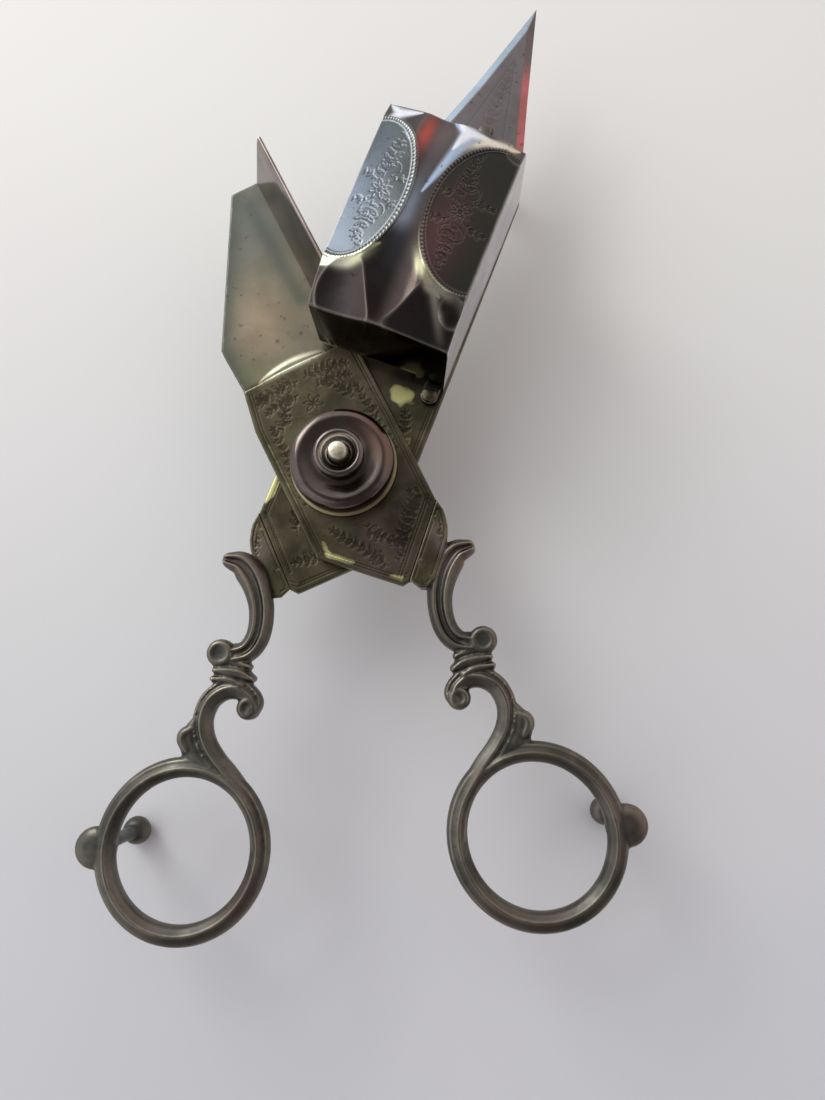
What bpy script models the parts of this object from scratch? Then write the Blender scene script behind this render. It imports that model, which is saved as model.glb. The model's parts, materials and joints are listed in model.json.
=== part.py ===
"""Candle snuffers (wick trimmer): two crossed arms on a spring pivot.

Every size is in millimetres and is turned into metres where a mesh is made.
Each arm is modelled in its own frame: the pivot at x = y = 0, +Y along the blade
towards its tip, and z = 0 on the table. The press arm's handle leans to +x and the
box arm's is its mirror image.
"""
import math

import bmesh
import bpy
from mathutils import Matrix, Vector

MM = 0.001
GAP = 0.3

# The pivot, and each arm's turn about it at rest.
PIVOT = (0.0, -5.85)
ARM_ANGLE = 24.0

# Levels above the table.
CASTING_MID_Z = 18.0
LOWER_PLATE_Z = (16.2, 17.6)
UPPER_PLATE_Z = (18.9, 20.1)
TRAY_DROP = 0.95
WASHER_Z = (LOWER_PLATE_Z[1] + GAP, UPPER_PLATE_Z[0] - GAP)

# Blades.
BLADE_HALF_WIDTH = 10.8
SHOULDER_Y = -12.0
GABLE_TIP_Y = -22.4
CUFF_SEAM = 16.3
BLADE_UNDER_CUFF = 1.4
CUFF_END = 20.0
PIVOT_HOLE_R = 1.9
STEP_Y = (19.4, 20.6)
TRAY_WIDEST_Y = 28.4
TRAY_FRONT_Y = 54.4
TRAY_FRONT_X = 3.8
TRAY_EDGE_X = 11.2
TIP_Y = 94.3
TIP_BASE_Y = 56.0

# Box.
BOX_OPEN_X = (-11.7, -13.6)
BOX_RIGHT_X = 10.5
BOX_REAR_Y = (18.3, 20.8)
BOX_FRONT_Y = (56.6, 57.5)
BOX_FLOOR_Z = LOWER_PLATE_Z[1] + GAP
BOX_EDGE_Z = 30.5
BOX_RIDGE_Z = 33.3
BOX_WALL = 0.8
BOX_MIDDLE = (-1.6, 39.5)
BOX_CROWN = 1.35
BOX_END_DROP = 3.4
BOX_ROOF_HALF = (12.0, 19.0)
FACET_SLOPE = 0.26
FACET_EDGE_DROP = 2.2
CORNER_MIDDLE_Y = 38.5
CORNER_RISE = 13.2
CORNER_SLOPE = (6.0, 12.0)
SLOT_TOP_Z = UPPER_PLATE_Z[1] + 0.4
SLOT_END_X = 5.6
LUG_HALF = 1.5
REAR_LUG = (8.6, 16.7)
FRONT_LUG = (6.0, 58.2)

# Press plate. Its rear corner is cut lower, to pass below the end of the box's roof.
PRESS_BASE_X = 8.8
PRESS_Y = (22.6, 54.2)
PRESS_HEIGHT = 10.4
PRESS_REAR_HEIGHT = 8.2
PRESS_FULL_HEIGHT_Y = 27.4
PRESS_LEAN = 2.65
PRESS_THICK = 0.7
PRESS_FOOT_THICK = 0.55
PRESS_FOOT_BEND = 0.3
PRESS_RIVET_R = 0.35
PRESS_RIVET_INSET = (0.7, 5.5)

# Handles.
RING_CENTRE = (0.8, -66.2)
RING_INNER = (10.6, 11.1)
RING_BAND = 3.3
RING_HALF_Z = 1.9
KNOB = (13.3, -70.6)
KNOB_R = 3.7
KNOB_HALF_Z = 1.9
CAST_HALF_Z = 1.8
FLANGE_THICK = 1.2

# Feet.
BALL_FOOT_R = 2.4
STALK_R = 1.2
FOOT_FLAT_R = 1.2
FOOT_SHOULDER_R = 1.9
TENON_R = 0.7
TENON_TOP_Z = 17.5
FRONT_FOOT = (0.0, 67.0)

# Fasteners.
SHANK_R = 0.7
HOLE_R = SHANK_R + GAP
RIVET_HEAD_R = 1.3
RIVET_HEAD = 0.5
CUFF_RIVET_R = 0.6
CUFF_RIVET_HEAD_R = 1.2

# Pivot and spring drum.
PIN_R = 1.6
PIN_HEAD_R = 3.5
PIN_LOW_Z = 13.7
PIN_TOP_Z = 29.1
LOWER_WASHER = (3.4, 0.5)
MIDDLE_WASHER_R = 6.0
DRUM_BASE_Z = UPPER_PLATE_Z[1] + GAP
DRUM_BASE_THICK = 0.55
DRUM_BASE_R = 8.85
DRUM_LOW_Z = DRUM_BASE_Z + DRUM_BASE_THICK + GAP
DRUM_R = 8.5
DRUM_HEIGHT = 4.9
DRUM_WALL = 0.9
SLEEVE_R = 2.6
SLEEVE_HEIGHT = 3.1
SPRING_TURNS = 4.5
SPRING_STEPS = 20
SPRING_HEIGHT = 2.2
SPRING_STRIP = 0.28
SPRING_RADII = (3.0, 6.95)


def clear_scene():
    for obj in list(bpy.data.objects):
        bpy.data.objects.remove(obj, do_unlink=True)


def material(name, colour, roughness, metallic=1.0):
    made = bpy.data.materials.new(name)
    made.use_nodes = True
    shader = made.node_tree.nodes["Principled BSDF"]
    shader.inputs["Base Color"].default_value = (*colour, 1.0)
    shader.inputs["Roughness"].default_value = roughness
    shader.inputs["Metallic"].default_value = metallic
    made.diffuse_color = (*colour, 1.0)
    return made


def mesh_object(name, points, faces, frame=None, paint=None):
    """An object from points in millimetres, parented to an arm's frame."""
    mesh = bpy.data.meshes.new(name)
    mesh.from_pydata([Vector(p) * MM for p in points], [], faces)
    bm = bmesh.new()
    bm.from_mesh(mesh)
    bmesh.ops.recalc_face_normals(bm, faces=bm.faces)
    bm.to_mesh(mesh)
    bm.free()
    obj = bpy.data.objects.new(name, mesh)
    bpy.context.scene.collection.objects.link(obj)
    if frame is not None:
        obj.parent = frame
    if paint is not None:
        mesh.materials.append(paint)
    return obj


def combine(target, others, operation):
    """Adds or cuts the other objects with exact Booleans, then removes them."""
    for other in others:
        other.hide_render = True
        other.display_type = "WIRE"
        modifier = target.modifiers.new(operation.lower(), "BOOLEAN")
        modifier.operation = operation
        modifier.solver = "EXACT"
        modifier.use_self = operation == "UNION"
        modifier.object = other
    bpy.context.view_layer.update()
    graph = bpy.context.evaluated_depsgraph_get()
    result = bpy.data.meshes.new_from_object(target.evaluated_get(graph))
    target.modifiers.clear()
    target.data = result
    for other in others:
        bpy.data.objects.remove(other, do_unlink=True)
    return target


def finish(obj, angle=35):
    obj.data.shade_smooth()
    obj.data.set_sharp_from_angle(angle=math.radians(angle))
    return obj


def prism(name, outline, z_low, z_high, frame=None, paint=None):
    """A straight-sided solid from an outline of (x, y) points."""
    count = len(outline)
    points = [(x, y, z_low) for x, y in outline]
    points += [(x, y, z_high) for x, y in outline]
    faces = [tuple(range(count)), tuple(range(count, 2 * count))]
    for i in range(count):
        j = (i + 1) % count
        faces.append((i, j, j + count, i + count))
    return mesh_object(name, points, faces, frame, paint)


def turned(name, profile, centre=(0.0, 0.0), frame=None, paint=None, segments=32):
    """A turned solid: profile is a closed or axis-to-axis list of (radius, z)."""
    points = []
    rings = []
    for radius, z in profile:
        if radius == 0:
            rings.append([len(points)] * segments)
            points.append((centre[0], centre[1], z))
            continue
        rings.append(list(range(len(points), len(points) + segments)))
        for i in range(segments):
            turn = 2 * math.pi * i / segments
            x = centre[0] + radius * math.cos(turn)
            y = centre[1] + radius * math.sin(turn)
            points.append((x, y, z))
    closed = profile[0][0] > 0
    faces = []
    for a in range(len(rings) if closed else len(rings) - 1):
        low, high = rings[a], rings[(a + 1) % len(rings)]
        for i in range(segments):
            j = (i + 1) % segments
            corners = [low[i], low[j], high[j], high[i]]
            face = tuple(dict.fromkeys(corners))
            if len(face) > 2:
                faces.append(face)
    return mesh_object(name, points, faces, frame, paint)


def disc(name, radius, z_low, z_high, centre=(0.0, 0.0), frame=None, segments=24):
    return turned(name, [(0, z_low), (radius, z_low), (radius, z_high), (0, z_high)],
                  centre, frame, None, segments)


def washer(name, inner, outer, z_low, z_high, frame, paint):
    edge = 0.12
    profile = [(inner, z_low), (outer - edge, z_low), (outer, z_low + edge),
               (outer, z_high - edge), (outer - edge, z_high), (inner, z_high)]
    return finish(turned(name, profile, (0, 0), frame, paint, 28))


def spline(points, steps):
    """Points on a smooth curve through (x, y, half width) points."""
    rows = [Vector(p) for p in points]
    rows = [2 * rows[0] - rows[1]] + rows + [2 * rows[-1] - rows[-2]]
    out = []
    for i in range(1, len(rows) - 2):
        p0, p1, p2, p3 = rows[i - 1:i + 3]
        for k in range(steps):
            t = k / steps
            a = 2 * p1 + (p2 - p0) * t
            b = (2 * p0 - 5 * p1 + 4 * p2 - p3) * t * t
            c = (3 * p1 - p0 - 3 * p2 + p3) * t * t * t
            out.append((a + b + c) / 2)
    out.append(rows[-2])
    return out


def bar(name, side, points, half_z, steps=2):
    """A cast bar of changing width along a curve, with bevelled edges and round ends."""
    rows = spline(points, steps)
    stations = []
    last = len(rows) - 1
    for i, row in enumerate(rows):
        ahead = rows[min(i + 1, last)] - rows[max(i - 1, 0)]
        along = Vector((ahead.x, ahead.y)).normalized()
        stations.append((Vector((row.x, row.y)), along, row.z, half_z))
    for end, sign in ((0, -1), (-1, 1)):
        place, along, width, height = stations[end]
        for turn in (35, 65):
            reach = sign * width * math.sin(math.radians(turn))
            shrink = math.cos(math.radians(turn))
            cap = (place + along * reach, along, width * shrink, height * shrink ** 0.5)
            if sign > 0:
                stations.append(cap)
            else:
                stations.insert(0, cap)
    section = [(-1, -0.45), (-0.6, -1), (0.6, -1), (1, -0.45),
               (1, 0.45), (0.6, 1), (-0.6, 1), (-1, 0.45)]
    verts = []
    for place, along, width, height in stations:
        across = Vector((-along.y, along.x))
        for u, v in section:
            spot = place + across * (u * width)
            verts.append((side * spot.x, spot.y, CASTING_MID_Z + v * height))
    size = len(section)
    faces = [tuple(range(size)), tuple(range(len(verts) - size, len(verts)))]
    for a in range(len(stations) - 1):
        for i in range(size):
            j = (i + 1) % size
            faces.append((a * size + i, a * size + j,
                          (a + 1) * size + j, (a + 1) * size + i))
    return mesh_object(name, verts, faces)


def bead(name, side, centre, radius, half_z, segments=14):
    """A flattened ball lying in the plane of the casting."""
    profile = [(0, CASTING_MID_Z - half_z)]
    for turn in (-60, -30, 0, 30, 60):
        angle = math.radians(turn)
        profile.append((radius * math.cos(angle),
                        CASTING_MID_Z + half_z * math.sin(angle)))
    profile.append((0, CASTING_MID_Z + half_z))
    return turned(name, profile, (side * centre[0], centre[1]), None, None, segments)


def ring(name, side, segments=40):
    """The finger ring: an oval band, flat inside and rounded outside."""
    section = [(0, -1.45), (0.5, -1.9), (1.7, -1.85), (2.8, -1.3), (RING_BAND, -0.4),
               (RING_BAND, 0.4), (2.8, 1.3), (1.7, 1.85), (0.5, 1.9), (0, 1.45)]
    verts = []
    for i in range(segments):
        turn = 2 * math.pi * i / segments
        for out, z in section:
            x = RING_CENTRE[0] + (RING_INNER[0] + out) * math.cos(turn)
            y = RING_CENTRE[1] + (RING_INNER[1] + out) * math.sin(turn)
            verts.append((side * x, y, CASTING_MID_Z + z * RING_HALF_Z / 1.9))
    size = len(section)
    faces = []
    for i in range(segments):
        a, b = i * size, ((i + 1) % segments) * size
        for k in range(size):
            n = (k + 1) % size
            faces.append((a + k, a + n, b + n, b + k))
    return mesh_object(name, verts, faces)


def handle(name, side, blade_z, frame, paint):
    """One cast handle: cuff, two scrolls, collar, leaf, finger ring and knob."""
    body = ring(name, side)
    scroll = [(12.9, -21.7, 0.75), (11.3, -21.3, 1.6), (9.3, -21.5, 2.0),
              (7.4, -22.5, 2.15), (5.2, -24.3, 2.1), (3.8, -26.6, 2.0),
              (2.9, -29.2, 1.95), (2.7, -32.0, 1.9), (3.3, -34.3, 1.8), (5.0, -35.6, 1.6)]
    hook = [(-0.2, -41.3, 1.8), (2.0, -40.2, 1.6), (4.3, -41.2, 1.5), (5.7, -43.2, 1.5),
            (6.0, -45.6, 1.4), (5.3, -47.8, 1.3), (3.7, -49.9, 1.3), (1.2, -51.7, 1.3),
            (-2.0, -53.3, 1.3), (-5.2, -55.2, 1.4), (-8.0, -57.9, 1.5)]
    leaf = [(6.2, -42.2, 1.3), (7.2, -44.8, 1.3), (7.3, -47.3, 1.2), (7.3, -49.4, 1.8),
            (5.9, -51.4, 1.6), (4.2, -53.6, 2.2)]
    web = [(5.0, -49.6, 1.9), (2.2, -52.7, 2.0), (-0.8, -54.3, 1.3)]
    pieces = [
        bar("scroll", side, scroll, CAST_HALF_Z),
        bar("hook", side, hook, CAST_HALF_Z),
        bar("leaf", side, leaf, CAST_HALF_Z - 0.15),
        bar("web", side, web, CAST_HALF_Z - 0.4),
        bar("collar", side, [(1.4, -37.8, 1.2), (3.9, -38.4, 1.4), (6.4, -39.2, 1.2)], 2.1),
        bar("neck", side, [(5.0, -35.6, 1.9), (3.9, -39.9, 1.9)], CAST_HALF_Z - 0.2),
        bead("curl_end", side, (-0.5, -42.1), 2.0, 2.0),
        bead("scroll_ball", side, (7.2, -35.9), 2.25, 2.2),
        knob(side),
    ]
    pieces += cuff(side, blade_z)
    combine(body, pieces, "UNION")
    socket = disc("socket", TENON_R + GAP, CASTING_MID_Z - 2 * KNOB_HALF_Z,
                  TENON_TOP_Z + GAP, (side * KNOB[0], KNOB[1]), None, 12)
    holes = [disc("rivet_hole", CUFF_RIVET_R + GAP, blade_z[0], blade_z[1] + 5,
                  (side * x, y), None, 12) for x, y in cuff_rivet_places()]
    combine(body, [socket] + holes, "DIFFERENCE")
    body.name = name
    body.parent = frame
    body.data.materials.clear()
    body.data.materials.append(paint)
    return finish(body)


def knob(side):
    """The thick disc on the ring's outer side that its ball foot hangs from."""
    chamfer = 0.9
    rim = KNOB_R - chamfer
    profile = [(0, -KNOB_HALF_Z), (rim, -KNOB_HALF_Z), (KNOB_R, chamfer - KNOB_HALF_Z),
               (KNOB_R, KNOB_HALF_Z - chamfer), (rim, KNOB_HALF_Z), (0, KNOB_HALF_Z)]
    return turned("knob", [(r, CASTING_MID_Z + z) for r, z in profile],
                  (side * KNOB[0], KNOB[1]), None, None, 20)


def seam_point(distance, along):
    """A point at a distance from the pivot square to the cuff's seam, and along it."""
    square = 1 / math.sqrt(2)
    return (distance * square + along * square, -distance * square + along * square)


def cuff(side, blade_z):
    """The cuff's flange lies on the blade's gable edge and its body stands beside it."""
    body_start = CUFF_SEAM + BLADE_UNDER_CUFF + GAP
    flange_z = (blade_z[1] + GAP, blade_z[1] + GAP + FLANGE_THICK)
    rim = [(11.0, -15.2), (10.5, -16.9), (9.6, -18.5)]
    end = [(4.6, -23.6), (2.9, -24.6)]

    def outline(start):
        top = seam_point(start, -0.6 - (start - CUFF_SEAM))
        low_end = seam_point(start, -14.8)
        return [(side * x, y) for x, y in [top] + rim + end + [low_end]]

    flange = prism("flange", outline(CUFF_SEAM), *flange_z)
    body = prism("cuff_body", outline(body_start),
                 CASTING_MID_Z - CAST_HALF_Z, flange_z[1] - 0.2)
    return [flange, body]


def cuff_rivet_places():
    middle = CUFF_SEAM + 0.75
    return [seam_point(middle, along) for along in (-4.0, -11.5)]


def cuff_rivet(name, side, place, blade_z, frame, paint):
    low = blade_z[0] + 0.05
    seat = blade_z[1] + GAP + FLANGE_THICK + GAP
    profile = [(0, low), (CUFF_RIVET_R, low), (CUFF_RIVET_R, seat),
               (CUFF_RIVET_HEAD_R, seat), (CUFF_RIVET_HEAD_R - 0.4, seat + 0.3),
               (0, seat + 0.35)]
    return finish(turned(name, profile, (side * place[0], place[1]), frame, paint, 12))


def ring_foot(name, side, frame, paint):
    """A stalk with a ball foot; its tenon goes up into the ring's knob."""
    seat = CASTING_MID_Z - KNOB_HALF_Z - GAP
    profile = ball_profile() + [(STALK_R, seat - 1.2), (FOOT_SHOULDER_R, seat - 0.8),
                                (FOOT_SHOULDER_R, seat), (TENON_R, seat),
                                (TENON_R, TENON_TOP_Z), (0, TENON_TOP_Z)]
    return finish(turned(name, profile, (side * KNOB[0], KNOB[1]), frame, paint, 18))


def front_foot(name, frame, paint):
    """The third foot: its end goes through the blade and is riveted over on top."""
    seat = LOWER_PLATE_Z[0] - GAP
    top = LOWER_PLATE_Z[1] + GAP
    profile = ball_profile() + [(STALK_R, seat - 1.3), (FOOT_SHOULDER_R, seat - 0.9),
                                (FOOT_SHOULDER_R, seat), (TENON_R, seat), (TENON_R, top)]
    profile += rivet_head(top, 1)
    return finish(turned(name, profile, FRONT_FOOT, frame, paint, 18))


def rivet_head(seat, up):
    """A low head from its shank outwards and over to the axis, up or down."""
    return [(RIVET_HEAD_R, seat), (RIVET_HEAD_R - 0.4, seat + up * (RIVET_HEAD - 0.1)),
            (0, seat + up * RIVET_HEAD)]


def ball_profile():
    """From the foot's small flat face up to its stalk."""
    centre_z = math.sqrt(BALL_FOOT_R ** 2 - FOOT_FLAT_R ** 2)
    start = -math.degrees(math.asin(centre_z / BALL_FOOT_R))
    end = math.degrees(math.acos(STALK_R / BALL_FOOT_R))
    profile = [(0, 0)]
    for i in range(8):
        turn = math.radians(start + (end - start) * i / 7)
        z = centre_z + BALL_FOOT_R * math.sin(turn)
        profile.append((BALL_FOOT_R * math.cos(turn), max(z, 0)))
    return profile


def gable(side):
    """The pivot end of a blade: shoulders, a gable, and its edge under the cuff."""
    edge = (CUFF_SEAM + BLADE_UNDER_CUFF) * math.sqrt(2)
    w = BLADE_HALF_WIDTH
    return [(-side * w, SHOULDER_Y), (-side * 0.4, GABLE_TIP_Y),
            (side * 0.9, GABLE_TIP_Y), (side * (edge + GABLE_TIP_Y + 0.6), GABLE_TIP_Y + 0.6),
            (side * w, w - edge)]


def box_arm_blade(frame, paint):
    """Lower plate, floor of the box and pricking point in one sheet."""
    w = BLADE_HALF_WIDTH
    outline = gable(-1)
    outline += [(-w, 14.0), (BOX_OPEN_X[0], 18.5), (BOX_OPEN_X[0], TIP_BASE_Y),
                (-5.2, 75.5), (0.0, TIP_Y), (5.0, 75.5), (BOX_RIGHT_X, TIP_BASE_Y)]
    blade = prism("box_arm_blade", outline, *LOWER_PLATE_Z, frame)
    holes = [disc("pivot_hole", PIVOT_HOLE_R, 15, 19, (0, 0), frame)]
    rivets = [(-x, y) for x, y in cuff_rivet_places()] + [REAR_LUG, FRONT_LUG, FRONT_FOOT]
    holes += [disc("hole", HOLE_R, 15, 19, place, frame, 12) for place in rivets]
    combine(blade, holes, "DIFFERENCE")
    blade.data.materials.append(paint)
    return finish(blade)


def press_arm_blade(frame, paint):
    """Upper plate, stepped down at the box into the tray that carries the press plate."""
    w = BLADE_HALF_WIDTH
    outline = gable(1)
    outline += [(TRAY_EDGE_X, 12.0), (TRAY_EDGE_X, TRAY_FRONT_Y),
                (TRAY_FRONT_X, TRAY_FRONT_Y), (-10.0, TRAY_WIDEST_Y), (-9.6, STEP_Y[0]),
                (-w, 12.0)]
    blade = prism("press_arm_blade", outline, *UPPER_PLATE_Z, frame)
    bm = bmesh.new()
    bm.from_mesh(blade.data)
    for y in STEP_Y:
        everything = bm.verts[:] + bm.edges[:] + bm.faces[:]
        bmesh.ops.bisect_plane(bm, geom=everything, plane_co=(0, y * MM, 0),
                               plane_no=(0, 1, 0))
    for vert in bm.verts:
        if vert.co.y > (STEP_Y[1] - 0.01) * MM:
            vert.co.z -= TRAY_DROP * MM
    bm.to_mesh(blade.data)
    bm.free()
    holes = [disc("pivot_hole", PIVOT_HOLE_R, 18, 21, (0, 0), frame)]
    holes += [disc("hole", CUFF_RIVET_R + GAP, 17, 21, place, frame, 12)
              for place in cuff_rivet_places()]
    holes += [disc("hole", PRESS_RIVET_R + GAP, 17, 21, place, frame, 12)
              for place in press_rivet_places()]
    combine(blade, holes, "DIFFERENCE")
    blade.data.materials.append(paint)
    return finish(blade)


def press_rivet_places():
    inset_x, inset_y = PRESS_RIVET_INSET
    return [(TRAY_EDGE_X - inset_x, PRESS_Y[0] + inset_y),
            (TRAY_EDGE_X - inset_x, PRESS_Y[1] - inset_y)]


def press_plate(frame, paint):
    """Upright plate that leans over its own foot flange, bent from one strip."""
    floor = UPPER_PLATE_Z[1] - TRAY_DROP + GAP
    x, thick = PRESS_BASE_X, PRESS_THICK
    foot_top = floor + PRESS_FOOT_THICK
    lean = PRESS_LEAN / PRESS_HEIGHT
    stations = [(PRESS_Y[0], PRESS_REAR_HEIGHT), (PRESS_FULL_HEIGHT_Y, PRESS_HEIGHT),
                (PRESS_Y[1], PRESS_HEIGHT)]
    verts = []
    for y, height in stations:
        section = [(x, floor), (TRAY_EDGE_X, floor), (TRAY_EDGE_X, foot_top),
                   (x + thick + PRESS_FOOT_BEND, foot_top),
                   (x + thick + lean * height, floor + height),
                   (x + lean * height, floor + height)]
        verts += [(px, y, pz) for px, pz in section]
    size = len(section)
    faces = [tuple(range(size)), tuple(range(len(verts) - size, len(verts)))]
    for a in range(0, len(verts) - size, size):
        for i in range(size):
            j = (i + 1) % size
            faces.append((a + i, a + j, a + j + size, a + i + size))
    plate = mesh_object("press_plate", verts, faces, frame)
    holes = [disc("hole", PRESS_RIVET_R + GAP, floor - 1, floor + 1, place, frame, 12)
             for place in press_rivet_places()]
    combine(plate, holes, "DIFFERENCE")
    plate.data.materials.append(paint)
    return finish(plate)


def press_rivet(name, place, frame, paint):
    """A fine rivet, flush with the tray below and with the press plate's foot above."""
    low = UPPER_PLATE_Z[0] - TRAY_DROP + 0.05
    high = UPPER_PLATE_Z[1] - TRAY_DROP + GAP + PRESS_FOOT_THICK
    profile = [(0, low), (PRESS_RIVET_R, low), (PRESS_RIVET_R, high), (0, high + 0.1)]
    return finish(turned(name, profile, place, frame, paint, 12))


def roof_height(x, y):
    """A crowned roof cut by a sloping flat facet on each long side."""
    half_x, half_y = BOX_ROOF_HALF
    u = (x - BOX_MIDDLE[0]) / half_x
    v = (y - BOX_MIDDLE[1]) / half_y
    loaf = BOX_RIDGE_Z - BOX_CROWN * u * u - BOX_END_DROP * v ** 4
    left = BOX_RIDGE_Z - FACET_EDGE_DROP + FACET_SLOPE * (x - BOX_OPEN_X[1])
    right = BOX_RIDGE_Z - FACET_EDGE_DROP - FACET_SLOPE * (x - BOX_RIGHT_X)
    corner_v = abs(y - CORNER_MIDDLE_Y) / half_y
    corner = (BOX_RIDGE_Z + CORNER_RISE - CORNER_SLOPE[0] * abs(u)
              - CORNER_SLOPE[1] * corner_v)
    return min(loaf, left, right, corner)


def roof_block(name, inset, x_low, frame):
    """A block with the roof's shape on top, set in from the box's outside."""
    x_high = BOX_RIGHT_X - inset
    y_low, y_high = BOX_REAR_Y[0] - 1.0, BOX_FRONT_Y[1] + 1.5
    floor = BOX_FLOOR_Z - (2.0 if inset else 0.0)
    columns, rows = 14, 20
    verts, faces = [], []
    for j in range(rows + 1):
        y = y_low + (y_high - y_low) * j / rows
        for i in range(columns + 1):
            x = x_low + (x_high - x_low) * i / columns
            verts.append((x, y, roof_height(x, y) - inset))
    wide = columns + 1
    for j in range(rows):
        for i in range(columns):
            a = j * wide + i
            faces.append((a, a + 1, a + wide + 1, a + wide))
    rim = [i for i in range(wide)]
    rim += [j * wide + columns for j in range(1, rows + 1)]
    rim += [rows * wide + i for i in range(columns - 1, -1, -1)]
    rim += [j * wide for j in range(rows - 1, 0, -1)]
    base = len(verts)
    verts += [(verts[i][0], verts[i][1], floor) for i in rim]
    for k in range(len(rim)):
        n = (k + 1) % len(rim)
        faces.append((rim[k], rim[n], base + n, base + k))
    faces.append(tuple(range(base, base + len(rim))))
    block = mesh_object(name, verts, faces, frame)
    rise = BOX_EDGE_Z - BOX_FLOOR_Z
    rear = (BOX_REAR_Y[1] - BOX_REAR_Y[0]) / rise
    front = (BOX_FRONT_Y[1] - BOX_FRONT_Y[0]) / rise
    slice_off(block, (0, BOX_REAR_Y[0] + inset, BOX_FLOOR_Z), (0, -1, rear))
    slice_off(block, (0, BOX_FRONT_Y[0] - inset, BOX_FLOOR_Z), (0, 1, -front))
    return block


def slice_off(obj, point, outward):
    """Cuts away what lies outside a plane and closes the cut."""
    bm = bmesh.new()
    bm.from_mesh(obj.data)
    everything = bm.verts[:] + bm.edges[:] + bm.faces[:]
    cut = bmesh.ops.bisect_plane(bm, geom=everything, plane_co=Vector(point) * MM,
                                 plane_no=Vector(outward), clear_outer=True)
    edges = [e for e in cut["geom_cut"] if isinstance(e, bmesh.types.BMEdge)]
    bmesh.ops.contextual_create(bm, geom=edges)
    bmesh.ops.recalc_face_normals(bm, faces=bm.faces)
    bm.to_mesh(obj.data)
    bm.free()


def box_shell(frame, paint):
    """Raised box, open below and towards the press plate, riveted by two lugs."""
    shell = roof_block("box_shell", 0.0, BOX_OPEN_X[1] - 1.6, frame)
    lean = (BOX_OPEN_X[1] - BOX_OPEN_X[0]) / (BOX_EDGE_Z - BOX_FLOOR_Z)
    slice_off(shell, (BOX_OPEN_X[0], 0, BOX_FLOOR_Z), (-1, 0, lean))
    inside = roof_block("inside", BOX_WALL, BOX_OPEN_X[1] - 4.0, frame)
    slot = prism("blade_slot", [(-16, 15), (SLOT_END_X, 15), (SLOT_END_X, 23), (-16, 23)],
                 BOX_FLOOR_Z - 2, SLOT_TOP_Z, frame)
    combine(shell, [inside, slot], "DIFFERENCE")
    combine(shell, [lug(REAR_LUG, 1, frame), lug(FRONT_LUG, -1, frame)], "UNION")
    holes = [disc("hole", HOLE_R, 15, 20, place, frame, 12)
             for place in (REAR_LUG, FRONT_LUG)]
    combine(shell, holes, "DIFFERENCE")
    shell.data.materials.clear()
    shell.data.materials.append(paint)
    return finish(shell, 20)


def lug(place, towards_box, frame):
    """A small tongue that runs from the box's wall round its rivet."""
    x, y = place
    outline = [(x + LUG_HALF, y + towards_box * 2.0), (x - LUG_HALF, y + towards_box * 2.0)]
    for i in range(7):
        turn = math.radians(180 * i / 6)
        outline.append((x - LUG_HALF * math.cos(turn),
                        y - towards_box * LUG_HALF * math.sin(turn)))
    return prism("lug", outline, BOX_FLOOR_Z, BOX_FLOOR_Z + BOX_WALL, frame)


def box_rivet(name, place, frame, paint):
    low = LOWER_PLATE_Z[0] - GAP
    high = BOX_FLOOR_Z + BOX_WALL + GAP
    profile = rivet_head(low, -1)[::-1] + [(SHANK_R, low), (SHANK_R, high)]
    profile += rivet_head(high, 1)
    return finish(turned(name, profile, place, frame, paint, 12))


def pivot_pin(frame, paint):
    """Shaft with a low domed head below; its riveted end shows on top of the collar."""
    seat = LOWER_PLATE_Z[0] - 2 * GAP - LOWER_WASHER[1]
    profile = [(0, PIN_LOW_Z), (2.0, PIN_LOW_Z + 0.2), (PIN_HEAD_R - 0.2, seat - 0.6),
               (PIN_HEAD_R, seat), (PIN_R, seat), (PIN_R, PIN_TOP_Z - 0.8),
               (1.2, PIN_TOP_Z - 0.2), (0, PIN_TOP_Z)]
    return finish(turned("pivot_pin", profile, (0, 0), frame, paint, 24))


def drum_base(frame, paint):
    """Thin disc with a rim that shows as a fine ring round the drum's foot."""
    return washer("drum_base", PIVOT_HOLE_R, DRUM_BASE_R, DRUM_BASE_Z,
                  DRUM_BASE_Z + DRUM_BASE_THICK, frame, paint)


def spring_drum(frame, paint):
    """Turned cover over the spring, with a rounded shoulder and a dished top."""
    low, top = DRUM_LOW_Z, DRUM_LOW_Z + DRUM_HEIGHT
    bore = PIN_R + 0.4
    shoulder_z = low + 2.2
    outside = [(DRUM_R - 0.15, low), (DRUM_R, low + 0.5), (DRUM_R - 0.1, shoulder_z + 0.4)]
    for i in range(1, 6):
        turn = math.radians(15 + 65 * i / 5)
        outside.append((DRUM_R - 1.7 + 1.6 * math.cos(turn),
                        shoulder_z + 1.9 * math.sin(turn)))
    outside += [(5.6, top - 0.9), (4.6, top - 0.8), (4.1, top), (bore, top)]
    inside = [(bore, low + 3.5), (6.4, low + 3.3), (DRUM_R - DRUM_WALL, low + 2.3),
              (DRUM_R - DRUM_WALL, low)]
    return finish(turned("spring_drum", outside + inside, (0, 0), frame, paint, 36), 30)


def drum_collar(frame, paint):
    """Small collar with a rolled rim and a hollow cone round the pivot's end."""
    low = DRUM_LOW_Z + DRUM_HEIGHT + GAP
    roll_r, roll_z = 3.3, low + 0.95
    bore = PIN_R + GAP
    outside = [(3.2, low)]
    for i in range(7):
        turn = math.radians(-60 + 180 * i / 6)
        outside.append((roll_r + 0.55 * math.cos(turn), roll_z + 0.6 * math.sin(turn)))
    inside = [(2.5, low + 1.05), (bore, low + 0.9), (bore, low)]
    return finish(turned("drum_collar", outside + inside, (0, 0), frame, paint, 28), 50)


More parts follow.
